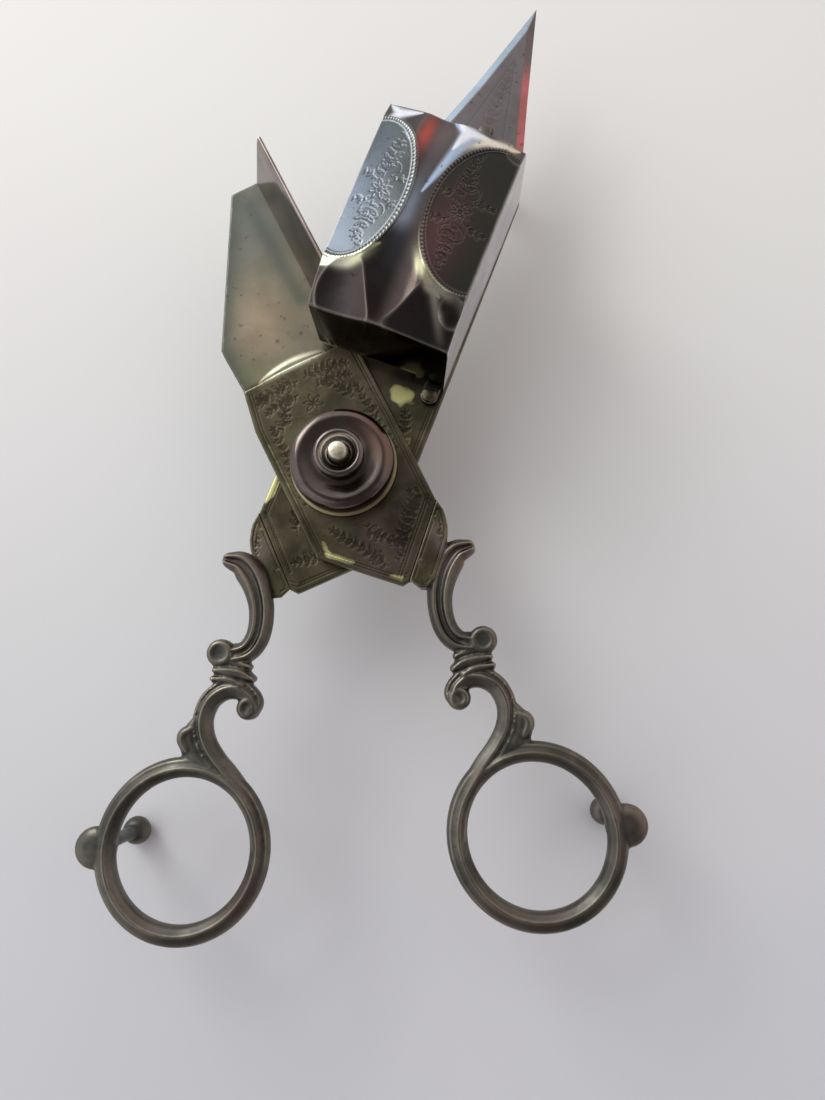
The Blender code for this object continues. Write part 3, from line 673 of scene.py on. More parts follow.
def seam_depth(points, side):
    """How far a point lies past the seam, square to it."""
    x, y = points[:, 0] * side, points[:, 1]
    return (x - y) / math.sqrt(2) - CUFF_SEAM


def border_lines(outline, insets, keep):
    """Engraved lines that follow an outline at some distances inside it."""
    outline = np.array(outline, float)
    loop = resampled(outline, 0.5)
    lines = []
    for inset in insets:
        for a, b in zip(loop, np.roll(loop, -1, axis=0)):
            d = b - a
            normal = np.array([-d[1], d[0]]) / np.linalg.norm(d)
            for sign in (1, -1):
                ends = np.array([a, b]) + sign * normal * inset
                far = loop_distance(ends, outline) > inset - 0.03
                if inside(ends, outline).all() and far.all():
                    lines.append(ends)
    return only_inside(lines, keep)


class Zones:
    """Colours laid over one another on a surface, each with its own strength."""

    def __init__(self, count):
        self.colours = np.ones((count, 4))
        self.strength = np.zeros(count)

    def lay(self, colour, strength):
        strength = np.clip(strength, 0, 1)
        total = strength + self.strength * (1 - strength)
        share = np.divide(strength, total, out=np.zeros_like(total), where=total > 1e-6)
        self.colours[:, :3] += share[:, None] * (np.array(colour) - self.colours[:, :3])
        self.strength = total

    def doubled(self):
        """The same zones for a mesh whose points are the surface's, twice over."""
        both = Zones(0)
        both.colours = np.tile(self.colours, (2, 1))
        both.strength = np.tile(self.strength, 2)
        return both


def blob(points, centre, reach):
    """1 at a centre, fading to 0 over an oval reach."""
    x = (points[:, 0] - centre[0]) / reach[0]
    y = (points[:, 1] - centre[1]) / reach[1]
    return np.exp(-(x * x + y * y))


def patch(points, centre, reach):
    """An oval patch with a fairly sharp, uneven edge."""
    x, y = points.T
    ragged = 0.08 * np.sin(2.1 * x + 1.3 * y) + 0.06 * np.sin(2.7 * y - 1.9 * x)
    return smoothstep((blob(points, centre, reach) - 0.25 + ragged) * 2)


def blade_sheet(side, rest_of_outline):
    """A blade's outline, points, triangles and the points' distance to its outer edge."""
    outline = gable(side) + rest_of_outline
    points, faces, loops = filled(outline, [circle((0, 0), PIVOT_HOLE_R)], PLATE_STEP,
                                  seam_creases(side))
    away = loop_distance(points, loops[0])
    fall = rounded_edge(np.minimum(away, loop_distance(points, loops[1])), EDGE_RADIUS)
    lap = LAP * np.clip((seam_depth(points, side) + SEAM_GAP) / SEAM_STEP, 0, 1)
    return np.array(outline, float), points, faces, away, fall, lap


def plate_piece(node, body, sheet, top, bottom, zones, ink, brass=None,
                ending="_fine"):
    """An engraved plate, with the same colours above and below."""
    points, faces = sheet
    verts, all_faces = plate_solid(points, faces, top, bottom)
    if brass is not None:
        brass = np.clip(np.tile(brass, 2), 0, 1)
    piece(node, body, PLATE, verts, all_faces, 50, 0.5, brass, zones.doubled(), ending,
          np.tile(ink, 2))


# Foliage on the box blade beside the pivot: start, heading and bend of each stem.
BOX_SPRIGS = (((6.5, 4.5), 75, 40), ((7.6, -3.0), -75, -40), ((5.5, -13.5), 200, 20),
              ((-3.5, -13.0), 120, -50))
# Foliage on the press blade: start, heading, length and bend of each stem, size of its
# leaves and how many stand along it.
PRESS_SPRIGS = (((-1.6, -10.6), 292, 7.0, 30, 1.7, 6),
                ((0.6, -18.9), 42, 13.5, 12, 1.8, 10),
                ((1.6, -17.0), 58, 9.5, -30, 1.6, 8),
                ((-0.8, -18.6), 118, 11.0, 6, 1.8, 9),
                ((4.6, -12.6), 20, 5.0, 60, 1.5, 5),
                ((-7.9, -4.0), 88, 15.0, 4, 1.7, 11),
                ((8.2, -3.5), 88, 15.0, 6, 1.7, 11),
                ((-0.6, 16.8), 174, 8.0, 22, 1.8, 7),
                ((0.6, 16.8), 6, 7.5, -26, 1.8, 7),
                ((-1.6, 14.4), 168, 6.0, 34, 1.5, 6),
                ((1.8, 14.4), 12, 6.0, -34, 1.5, 6),
                ((-6.6, 9.6), 70, 6.0, -30, 1.6, 5),
                ((7.0, 9.6), 110, 6.0, 30, 1.6, 5))
# Rust spots on the tray: centre and reach.
TRAY_SPOTS = (((-0.6, 25.4), 0.35), ((3.6, 24.8), 0.3), ((2.2, 28.6), 0.25))


def box_arm_blade():
    """Lower plate, floor of the box and bevelled pricking point."""
    w = HALF_WIDTH
    outline, points, faces, away, fall, lap = blade_sheet(-1, [
        (-w, 14.0), (OPEN_X[0], 18.5), (OPEN_X[0], 56.0), (-5.2, 75.5),
        (0.0, TIP_Y), (5.0, 75.5), (RIGHT_X, 56.0), (w, 13.5)])
    low, high = LOWER_PLATE
    top = high - fall
    top -= lap

    tip = points[:, 1] > TIP_START_Y
    bevel = BEVEL_DROP * np.clip(BEVEL_WIDTH - away, 0, BEVEL_WIDTH)
    top = np.where(tip, np.minimum(top, high - bevel), top)

    chance = random.Random(3)
    lines = border_lines([(-7.5, 59.5), (0.0, TIP_Y - 1.0), (7.5, 59.5)], (2.3,),
                         lambda p: p[:, 1] > 60)
    lines += sprig((0.4, 59.5), 92, 22, -4, 2.0, chance, 12)
    lines += border_lines(outline, (0.95, 1.35),
                          lambda p: (p[:, 1] < 17) & (seam_depth(p, -1) < -0.4))
    lines += [np.array([(-2.4, -20.1), (-10.4, -12.1)]) + inset for inset in (0.35, 0.55)]
    for start, heading, bend in BOX_SPRIGS:
        lines += sprig(start, heading, 8.5, bend, 1.8, chance, 7)
    lines = only_inside(lines, lambda p: (seam_depth(p, -1) < -0.5) & inside(p, outline))
    groove = carved(points, lines, ENGRAVING_HALF, 1.0)
    top -= np.where(tip, 0.03, 0.07) * groove
    brass = (0.8 * patch(points, (-10.4, -7.6), (0.9, 3.2))
             + 0.75 * patch(points, (3.9, 15.4), (2.6, 2.0))
             + 0.35 * patch(points, (7.8, 7.5), (1.0, 2.6)))
    x, y = points.T
    zones = Zones(len(points))
    on_tip = smoothstep((y - 56.5) / 2.0)
    zones.lay(TIP_GREY, 0.9 * on_tip)
    # Painted reflections: the left bevel blue, as from the window, and the right bevel red.
    zones.lay(BEVEL_BLUE_REFLECTION, 0.9 * on_tip * (x < 0) * smoothstep((1.5 - away) / 0.3))
    zones.lay(BEVEL_RED_REFLECTION, 0.95 * on_tip * (x > 0) * smoothstep((1.5 - away) / 0.3)
              * smoothstep((84.0 - y) / 6.0))
    plate_piece("box_arm_blade", "box_arm", (points, faces), top,
                np.full(len(points), low), zones, (0.6 - 0.4 * on_tip) * groove, brass)


def press_arm_blade():
    """Upper plate with engraved borders and foliage, stepped down to a plain tray."""
    outline, points, faces, away, fall, lap = blade_sheet(1, [
        (11.2, 12.0), (11.2, 54.4), (3.8, 54.4), (-10.0, 28.4), (-10.0, 26.4),
        (-9.6, 19.4), (-HALF_WIDTH, 12.0)])
    x, y = points.T
    lens = np.clip(1 - ((x + 0.3) / 6.4) ** 2, 0, 1)
    start = 19.35 + 0.15 * lens
    finish = start + 0.4 + 1.15 * lens
    drop = TRAY_DROP * np.clip((y - start) / (finish - start), 0, 1)
    ridge = 0.10 * np.exp(-((y - start) / 0.22) ** 2) * (lens > 0)
    ridge += 0.16 * np.exp(-((y - finish) / 0.25) ** 2) * (lens > 0)
    top = UPPER_TOP - drop + ridge * np.sqrt(lens)
    top = np.minimum(top, UPPER_TOP)
    bottom = UPPER_TOP - UPPER_THICK - drop
    top -= fall
    top -= lap

    chance = random.Random(11)
    lines = border_lines(outline, (0.85, 1.3),
                         lambda p: (p[:, 1] < 18.6) & (seam_depth(p, 1) < -0.4))
    for shift in (1.3, 1.75):
        lines.append(np.array([(1.0 - shift * 0.1, -22.0), (11.2, -11.9)])
                     + np.array([-0.5, 0.5]) * shift * 1.41)
    panel = []
    for start_at, heading, length, bend, leaf, leaves in PRESS_SPRIGS:
        panel += sprig(start_at, heading, length, bend, leaf, chance, leaves)
    panel += flower((0.1, 12.0), 1.7, 6, 30) + flower((-7.4, 16.6), 1.1, 5, 0)
    panel = only_inside(panel, lambda p: (p[:, 1] < 18.4) & (seam_depth(p, 1) < -2.0)
                        & (loop_distance(p, outline) > 1.6)
                        & (np.hypot(p[:, 0], p[:, 1]) > 8.9))
    groove = np.maximum(carved(points, lines, 0.13, 1.0), carved(points, panel, 0.11, 0.9))
    top -= 0.055 * groove
    border = np.exp(-((away - 1.1) / 0.45) ** 2) * (seam_depth(points, 1) < -1)
    brass = border * (0.9 * patch(points, (-7.0, -13.2), (3.0, 3.4))
                      + 0.7 * patch(points, (0.0, -21.0), (3.2, 1.6))
                      + 0.35 * patch(points, (-9.8, 4.0), (1.4, 9.0)))
    brass += 0.45 * patch(points, (-8.8, -11.2), (0.6, 1.6))
    brass += 0.3 * patch(points, (7.4, -18.0), (1.6, 0.8))
    zones = Zones(len(points))
    tray = smoothstep((y - finish) / 1.2)
    zones.lay(TRAY_TAN, 0.85 * tray)
    zones.lay(TRAY_WARM, 0.75 * tray * blob(points, (-1.6, 29.5), (5.5, 6.5)))
    zones.lay(TRAY_GREY, 0.85 * tray * smoothstep((y - 34.0) / 12.0))
    streak = segment_distance(points, np.array([(5.8, 50.5)]), np.array([(6.2, 30.5)]))
    zones.lay(TRAY_DARK, 0.6 * tray * np.exp(-(streak / 1.6) ** 2))
    side = segment_distance(points, np.array([(-10.0, 28.4), (-9.7, 19.0)]),
                            np.array([(3.8, 54.4), (-10.0, 28.4)]))
    zones.lay(TRAY_DARK, 0.8 * tray * np.exp(-(side / 2.3) ** 2))
    zones.lay(TRAY_GREEN, 0.6 * blob(points, (-7.0, 22.5), (2.6, 2.2)))
    for spot, radius in TRAY_SPOTS:
        zones.lay(TRAY_RUST, 0.8 * blob(points, spot, (radius, radius)))
    zones.lay(STEP_PALE, 0.8 * lens * (np.exp(-((y - finish) / 0.55) ** 2)
                                       + np.exp(-((y - start) / 0.4) ** 2)))
    plate_piece("press_arm_blade", "press_arm", (points, faces), top, bottom,
                zones, 0.65 * groove, brass)


# Box ---------------------------------------------------------------------------------

def oval_reach(x, y, oval):
    """The rough distance outside an oval's rim, below 0 inside it, and the direction."""
    (cx, cy), (rx, ry) = oval
    u, v = (x - cx) / rx, (y - cy) / ry
    reach = np.sqrt(u * u + v * v)
    slope = np.sqrt((u / rx) ** 2 + (v / ry) ** 2) / np.maximum(reach, 1e-6)
    return (reach - 1) / np.maximum(slope, 1e-6), np.arctan2(v, u)


def soft_least(heights, blend):
    """The lowest of some surfaces, with their meeting lines slightly rounded."""
    least = heights[0]
    for other in heights[1:]:
        h = np.clip(0.5 + 0.5 * (other - least) / blend, 0, 1)
        least = other * (1 - h) + least * h - blend * h * (1 - h)
    return least


def roof_surfaces(x, y):
    """The crowned loaf with its long end scallops, then the facets at its corners."""
    u, v = (x + 1.6) / 12.0, (y - 41.0) / 19.0
    loaf = BOX_RIDGE - 1.35 * u * u - 2.6 * v ** 4
    front = BOX_RIDGE - 0.165 * (y - 45.5) + 0.07 * (x + 3.6) ** 2
    rear = BOX_RIDGE - 0.2 * (36.5 - y) + 0.036 * (x + 2.4) ** 2
    rear_right = BOX_RIDGE - 2.8 - 0.13 * (x + 2.2) + 0.40 * (y - 21.5)
    rear_left = BOX_RIDGE - 3.0 + 0.43 * (y - 24.5) + 0.032 * (x + 9.8) ** 2
    right_strip = BOX_RIDGE - 3.4 + 0.11 * (x - 9.8) ** 2 + 0.105 * (y - 24.4) ** 2
    front_right = BOX_RIDGE - 2.9 + 0.15 * (x - 10.4) ** 2 + 0.12 * (y - 56.2) ** 2
    return [soft_least([loaf, front, rear], 0.35), rear_right, rear_left, right_strip,
            front_right]


def roof_facets(x, y):
    return soft_least(roof_surfaces(x, y), 0.05)


def facet_edges(x, y):
    """1 along the lines where two facets meet, fading out beside them."""
    heights = np.sort(np.array(roof_surfaces(x, y)), axis=0)
    return np.exp(-((heights[1] - heights[0]) / 0.10) ** 2)


# Painted highlights on the roof, as pale stars where ridges meet: centre, the ends of the
# arms, half width and colour.
ROOF_HIGHLIGHTS = (((1.4, 55.2), [(-1.9, 56.8), (-2.3, 42.8), (5.6, 55.4)], 1.25, HIGHLIGHT_BLUE),
              ((0.9, 55.5), [(-1.2, 56.9), (-0.4, 51.5), (4.4, 55.6)], 1.0, HIGHLIGHT_WHITE),
              ((5.9, 54.9), [(2.6, 55.6), (9.4, 56.2), (7.5, 51.4)], 0.8, HIGHLIGHT_CREAM),
              ((-11.0, 55.8), [(-13.2, 57.2), (-7.6, 56.8), (-13.4, 51.8)], 1.0, HIGHLIGHT_WHITE),
              ((-9.6, 29.0), [(-13.4, 26.8), (-5.4, 32.6)], 1.05, HIGHLIGHT_YELLOW),
              ((-10.0, 28.7), [(-12.8, 27.9), (-8.0, 29.6)], 0.6, HIGHLIGHT_CREAM),
              ((4.6, 28.7), [(1.9, 32.0), (9.9, 30.0)], 0.85, HIGHLIGHT_YELLOW),
              ((4.2, 28.9), [(2.6, 30.6), (6.4, 27.6)], 0.7, HIGHLIGHT_CREAM))
# Painted highlights in bands just outside the ovals' borders: oval, centre, reach and colour.
OVAL_RIM_HIGHLIGHTS = ((LEFT_OVAL, (-9.6, 29.0), (4.2, 3.0), HIGHLIGHT_YELLOW),
              (LEFT_OVAL, (-11.2, 28.2), (2.2, 1.8), HIGHLIGHT_CREAM),
              (RIGHT_OVAL, (3.4, 30.6), (2.6, 3.6), HIGHLIGHT_YELLOW),
              (RIGHT_OVAL, (6.6, 29.0), (2.4, 1.4), HIGHLIGHT_CREAM),
              (RIGHT_OVAL, (4.6, 54.4), (3.8, 2.4), HIGHLIGHT_CREAM))


def star(points, centre, tips, width):
    """A star whose arms taper to points."""
    shape = np.zeros(len(points))
    for tip in tips:
        along = np.array(tip) - centre
        length = np.linalg.norm(along)
        t = np.clip((points - centre) @ along / length ** 2, 0, 1)
        gap = np.linalg.norm(points - centre - t[:, None] * along, axis=1)
        shape = np.maximum(shape, np.exp(-(gap / (width * (1 - t) ** 0.9 + 0.15)) ** 3))
    return shape


def roof_zones(points):
    """Colours on the roof, all painted light: painted highlights as pale stars where ridges meet
    and along ridges, and painted reflections on the blue and dark ovals and near the front.
    """
    x, y = points.T
    zones = Zones(len(points))
    left = smoothstep((0.3 - oval_reach(x, y, LEFT_OVAL)[0]) / 0.4)
    right = smoothstep((0.3 - oval_reach(x, y, RIGHT_OVAL)[0]) / 0.4)
    bare = (1 - left) * (1 - right)
    # Painted reflections: the left oval lit teal and blue as from the window, the right oval
    # dark with a red patch.
    zones.lay(LEFT_TEAL_REFLECTION, 0.95 * left)
    zones.lay(LEFT_BLUE_REFLECTION, 0.9 * left * blob(points, (-12.5, 37.5), (4.5, 13.0)))
    zones.lay(RIGHT_DARK_REFLECTION, 0.95 * right)
    zones.lay(RIGHT_RED_REFLECTION, 0.9 * right * blob(points, (2.6, 36.5), (3.6, 7.5)))
    # Painted reflections near the front end: mauve, with a red streak.
    zones.lay(FRONT_MAUVE_REFLECTION, 0.8 * bare * blob(points, (-3.4, 53.4), (2.6, 4.5)))
    zones.lay(FRONT_RED_REFLECTION, 0.95 * bare * blob(points, (-5.6, 53.2), (1.0, 3.2)))
    # Painted highlights where ridges meet.
    for centre, tips, width, colour in ROOF_HIGHLIGHTS:
        zones.lay(colour, 0.95 * bare * star(points, centre, tips, width))
    # Painted highlights in bands beside the ovals.
    for oval, centre, reach, colour in OVAL_RIM_HIGHLIGHTS:
        band = np.exp(-((oval_reach(x, y, oval)[0] - 0.95) / 0.75) ** 2)
        zones.lay(colour, 0.95 * bare * band * blob(points, centre, reach))
    # Painted highlights: along the rear right ridge, faint blue on the waist, and cream on the
    # facets' meeting lines.
    ridge = segment_distance(points, np.array([(5.0, 28.6)]), np.array([(8.7, 21.8)]))
    zones.lay(HIGHLIGHT_CREAM, 0.75 * bare * np.exp(-(ridge / 0.65) ** 2)
              * smoothstep((y - 19.5) / 8.0))
    zones.lay(HIGHLIGHT_BLUE, 0.22 * bare * blob(points, (-3.2, 38.5), (1.2, 7.0)))
    zones.lay(HIGHLIGHT_CREAM, 0.12 * bare * facet_edges(x, y))
    return zones


def beaded(distance, along, pitch, height):
    """A row of small domes between two raised lines."""
    lines = sum(0.55 * height * np.exp(-((distance - side) / 0.11) ** 2)
                for side in (-0.46, 0.46))
    step = (along / pitch) % 1.0 - 0.5
    dome = 1 - (distance / 0.30) ** 2 - (step * pitch / 0.31) ** 2
    return lines + height * np.sqrt(np.clip(dome, 0, 1))


def roof(points):
    """The roof's height, with the engraved ovals and their beaded borders."""
    x, y = points.T
    height = roof_facets(x, y)
    flats = ((LEFT_OVAL, 0.20, -12.0, BOX_RIDGE - 1.7),
             (RIGHT_OVAL, -0.165, 8.4, BOX_RIDGE - 1.55))
    borders = np.zeros(len(points))
    for oval, slope, x0, z0 in flats:
        distance, turn = oval_reach(x, y, oval)
        flat = z0 + slope * (x - x0)
        share = smoothstep((0.15 - distance) / 0.45)
        height = height * (1 - share) + np.minimum(flat, height) * share
        mean = (oval[1][0] + oval[1][1]) / 2
        borders += beaded(distance + 0.15, turn * mean, 0.62, 0.12)
    chance = random.Random(5)
    lines = []
    for oval, turn in ((LEFT_OVAL, 1), (RIGHT_OVAL, -1)):
        cx = oval[0][0] + (3.0 if turn > 0 else -4.0)
        cy = oval[0][1]
        lines += flower((cx, cy), 1.8, 8, 22) + [circle((cx, cy), 0.8, 16)]
        for up in (-1, 1):
            lines += sprig((cx - 0.4, cy + up * 2.2), 90 * up, 6.6, -8 * turn, 2.1, chance, 5)
            lines += flower((cx + turn * 0.4, cy + up * 10.2), 0.9, 5, 15)
            for side in (-1, 1):
                start = (cx + side * 1.3, cy + up * 1.6)
                lines += sprig(start, up * (90 - side * 52), 3.6, -up * side * 50, 1.2,
                               chance, 3)
                lines.append(curl((cx, cy + up * 5.0), up * 90 + side * 60, 4.6,
                                  side * 200, 14))

    def on_flat(p):
        left = oval_reach(p[:, 0], p[:, 1], LEFT_OVAL)[0] < -1.0
        right = oval_reach(p[:, 0], p[:, 1], RIGHT_OVAL)[0] < -1.0
        return (left | right) & (p[:, 0] > OPEN_X[1] + 0.7) & (p[:, 0] < RIGHT_X - 0.6)

    groove = carved(points, only_inside(lines, on_flat), 0.10, 1.0)
    return np.minimum(height + borders - 0.045 * groove, BOX_RIDGE), groove


def box_shell():
    """Thin raised box: faceted roof, three walls, a slot for the tray and two lugs."""
    columns, rows = ROOF_COLUMNS, ROOF_ROWS
    s, t = np.meshgrid(np.linspace(0, 1, columns), np.linspace(0, 1, rows))
    front = FRONT_LEFT_Y[1] + (FRONT_RIGHT_Y[1] - FRONT_LEFT_Y[1]) * s
    x = OPEN_X[1] + (RIGHT_X - OPEN_X[1]) * s
    y = REAR_Y[1] + (front - REAR_Y[1]) * t
    flat = np.column_stack([x.ravel(), y.ravel()])
    height, groove = roof(flat)
    top = np.column_stack([flat, height])
    verts = [tuple(p) for p in top]
    grid = np.arange(rows * columns).reshape(rows, columns)
    faces = [(grid[j, i], grid[j, i + 1], grid[j + 1, i + 1], grid[j + 1, i])
             for j in range(rows - 1) for i in range(columns - 1)]

    rim = [(0, i) for i in range(columns)] + [(j, columns - 1) for j in range(1, rows)]
    rim += [(rows - 1, i) for i in range(columns - 2, -1, -1)]
    base = []
    for j, i in rim:
        share, along = i / (columns - 1), j / (rows - 1)
        front_base = FRONT_LEFT_Y[0] + (FRONT_RIGHT_Y[0] - FRONT_LEFT_Y[0]) * share
        base.append((OPEN_X[0] + (RIGHT_X - OPEN_X[0]) * share,
                     REAR_Y[0] + (front_base - REAR_Y[0]) * along, BOX_FLOOR))
    slot_share = (SLOT_TOP - BOX_FLOOR) / (BOX_RIDGE - 3.0 - BOX_FLOOR)
    shares = [0.0, slot_share / 2] + [slot_share + (1 - slot_share) * k / WALL_ROWS
                                      for k in range(WALL_ROWS)]
    columns_of = []
    for (j, i), foot in zip(rim, base):
        head = verts[grid[j, i]]
        column = []
        for share in shares:
            column.append(len(verts))
            verts.append(tuple(f + (h - f) * share for f, h in zip(foot, head)))
        column.append(int(grid[j, i]))
        columns_of.append(column)
    for k in range(len(rim) - 1):
        a, b = columns_of[k], columns_of[k + 1]
        in_slot = rim[k][0] == 0 and rim[k + 1][0] == 0 and base[k + 1][0] < SLOT_END_X
        for m in range(len(a) - 1):
            if in_slot and m < 2:
                continue
            faces.append((a[m], b[m], b[m + 1], a[m + 1]))

    mesh = bpy.data.meshes.new("box_skin")
    mesh.from_pydata(verts, [], faces)
    soften_rim(mesh, [columns_of[k][-1] for k in range(len(rim))])
    skin = linked("box_skin", mesh)
    bm = bmesh.new()
    bm.from_mesh(mesh)
    bmesh.ops.delete(bm, geom=[v for v in bm.verts if not v.link_faces], context="VERTS")
    bmesh.ops.recalc_face_normals(bm, faces=bm.faces)
    highest = max(bm.faces, key=lambda f: f.calc_center_median().z)
    if highest.normal.z < 0:
        bmesh.ops.reverse_faces(bm, faces=bm.faces)
    bm.to_mesh(mesh)
    bm.free()
    wall = skin.modifiers.new("wall", "SOLIDIFY")
    wall.thickness = SHELL_THICK
    wall.offset = -1.0
    solid = modified(skin)
    points = vectors(solid, "co").astype(float)
    points[:, 2] = np.maximum(points[:, 2], BOX_FLOOR)
    faces = [tuple(p.vertices) for p in solid.polygons]
    for place_at, side in ((REAR_LUG, 1), (FRONT_LUG, -1)):
        lug_points, lug_faces = lug(place_at, side)
        first = len(points)
        points = np.concatenate([points, lug_points])
        faces += [tuple(first + i for i in face) for face in lug_faces]
    zones = roof_zones(points[:, :2])
    zones.strength *= smoothstep((points[:, 2] - BOX_RIDGE + 5.4) / 0.8)
    # Painted reflection: the right wall is coloured pale, as the paper would show in it.
    zones.lay(WALL_PAPER_REFLECTION, 0.95 * (points[:, 0] > RIGHT_X - 0.1)
              * smoothstep((BOX_RIDGE - 1.9 - points[:, 2]) / 0.6))
    ink = nearest_value(points[:, :2], flat, 0.3 * groove, 0.2)
    piece("box_shell", "box_arm", MIRROR, points, faces, 60, 0.5, zones=zones,
          ink=ink)


def nearest_value(points, known, values, reach):
    """The value at the nearest known point in plan, or 0 beyond a reach."""
    tree = kdtree.KDTree(len(known))
    for i, (x, y) in enumerate(known):
        tree.insert((float(x), float(y), 0.0), i)
    tree.balance()
    out = np.zeros(len(points))
    for i, (x, y) in enumerate(points):
        _, index, gap = tree.find((float(x), float(y), 0.0))
        out[i] = values[index] if gap < reach else 0.0
    return out


def soften_rim(mesh, rim):
    """Rounds the fold between roof and walls by easing the points near it."""
    count = len(mesh.vertices)
    co = vectors(mesh, "co").astype(float)
    pairs = edge_pairs(mesh)
    share = np.zeros((count, 1))
    share[rim] = 1.0
    for _ in range(2):
        share = np.maximum(share, 1.6 * neighbour_mean(share, pairs, count))
    share = np.clip(share, 0, 1)
    share[[v for v in range(count) if co[v, 2] < BOX_FLOOR + 0.1]] = 0
    share[co[:, 0] < OPEN_X[1] + 0.05] = 0
    for _ in range(4):
        co += 0.5 * share * (neighbour_mean(co, pairs, count) - co)
    mesh.vertices.foreach_set("co", co.astype(np.float32).ravel())
    mesh.update()


def lug(centre, towards_box):
    """A small tongue that runs from the box's wall round its rivet."""
    x, y = centre
    half = 1.5
    outline = [(x + half, y + towards_box * 2.0), (x - half, y + towards_box * 2.0)]
    for i in range(13):
        turn = math.pi * i / 12
        outline.append((x - half * math.cos(turn), y - towards_box * half * math.sin(turn)))
    points, faces, loops = filled(outline, [circle(centre, 0.95, 16)], 0.3)
    away = np.minimum(loop_distance(points, loops[0]), loop_distance(points, loops[1]))
    top = BOX_FLOOR + 0.8 - rounded_edge(away, EDGE_RADIUS)
    return plate_solid(points, faces, top, np.full(len(points), BOX_FLOOR))


def press_plate():
    """Thin upright plate, bent out at its foot and cut lower at its rear corner."""
    floor, high = levels("press_plate")
    base_x, lean, thick, foot_end = 8.8, 2.65 / (high - floor), 0.7, 11.2
    y_low, y_full, y_high, rear_height = 22.6, 27.4, 54.2, 8.2
    stations = np.concatenate([[y_low, y_low + 0.12], np.arange(y_low + 0.6, y_high, 0.6),
                               [y_high - 0.12, y_high]])
    verts, size = [], 0
    for y in stations:
        rise = (high - floor) - max(0, y_full - y) / (y_full - y_low) * (
            high - floor - rear_height)
        end = min(y - y_low, y_high - y)
        trim = 0.1 if end < 0.05 else 0.0
        section = [(base_x + trim, floor), (foot_end - trim, floor + trim),
                   (foot_end - trim, floor + 0.55 - trim), (base_x + thick + 0.55, floor + 0.55)]
        for k in range(1, 5):
            turn = math.radians(-90 - 90 * k / 5)
            section.append((base_x + thick + 0.55 + 0.45 * math.cos(turn) + 0.12,
                            floor + 1.0 + 0.45 * math.sin(turn)))
        for k in range(8):
            z = 1.2 + (rise - 1.7) * k / 8
            section.append((base_x + thick + lean * z - trim, floor + z))
        tip = base_x + lean * rise
        for k in range(7):
            turn = math.radians(180 * k / 6)
            section.append((tip + thick / 2 + (thick / 2 - trim) * math.cos(turn),
                            floor + rise - 0.35 + 0.35 * math.sin(turn)))
        for k in range(8, 0, -1):
            z = rise * k / 9
            section.append((base_x + lean * z + trim, floor + z))
        size = len(section)
        verts += [(px, y, pz) for px, pz in section]
    faces = [tuple(range(size)), tuple(range(len(verts) - size, len(verts)))]
    for a in range(0, len(verts) - size, size):
        for i in range(size):
            j = (i + 1) % size
            faces.append((a + i, a + j, a + j + size, a + i + size))
    piece("press_plate", "press_arm", PRESS, verts, faces, 45, 0.5)


# Castings ----------------------------------------------------------------------------

GROOVED = [(-1, 0), (-0.94, 0.45), (-0.68, 0.78), (-0.42, 1.0), (-0.28, 0.86), (-0.1, 0.62),
           (0.1, 0.62), (0.28, 0.86), (0.42, 1.0), (0.68, 0.72), (0.94, 0.4), (1, 0),
           (0.9, -0.6), (0.55, -1), (-0.55, -1), (-0.9, -0.6)]
RIDGED = [(-1, 0), (-0.92, 0.45), (-0.55, 0.72), (-0.1, 0.92), (0.12, 1.0), (0.3, 0.78),
          (0.5, 0.66), (0.72, 0.82), (0.92, 0.5), (1, 0),
          (0.9, -0.6), (0.55, -1), (-0.55, -1), (-0.9, -0.6)]
ROUND = [(math.cos(math.radians(a)), math.sin(math.radians(a))) for a in range(0, 360, 24)]
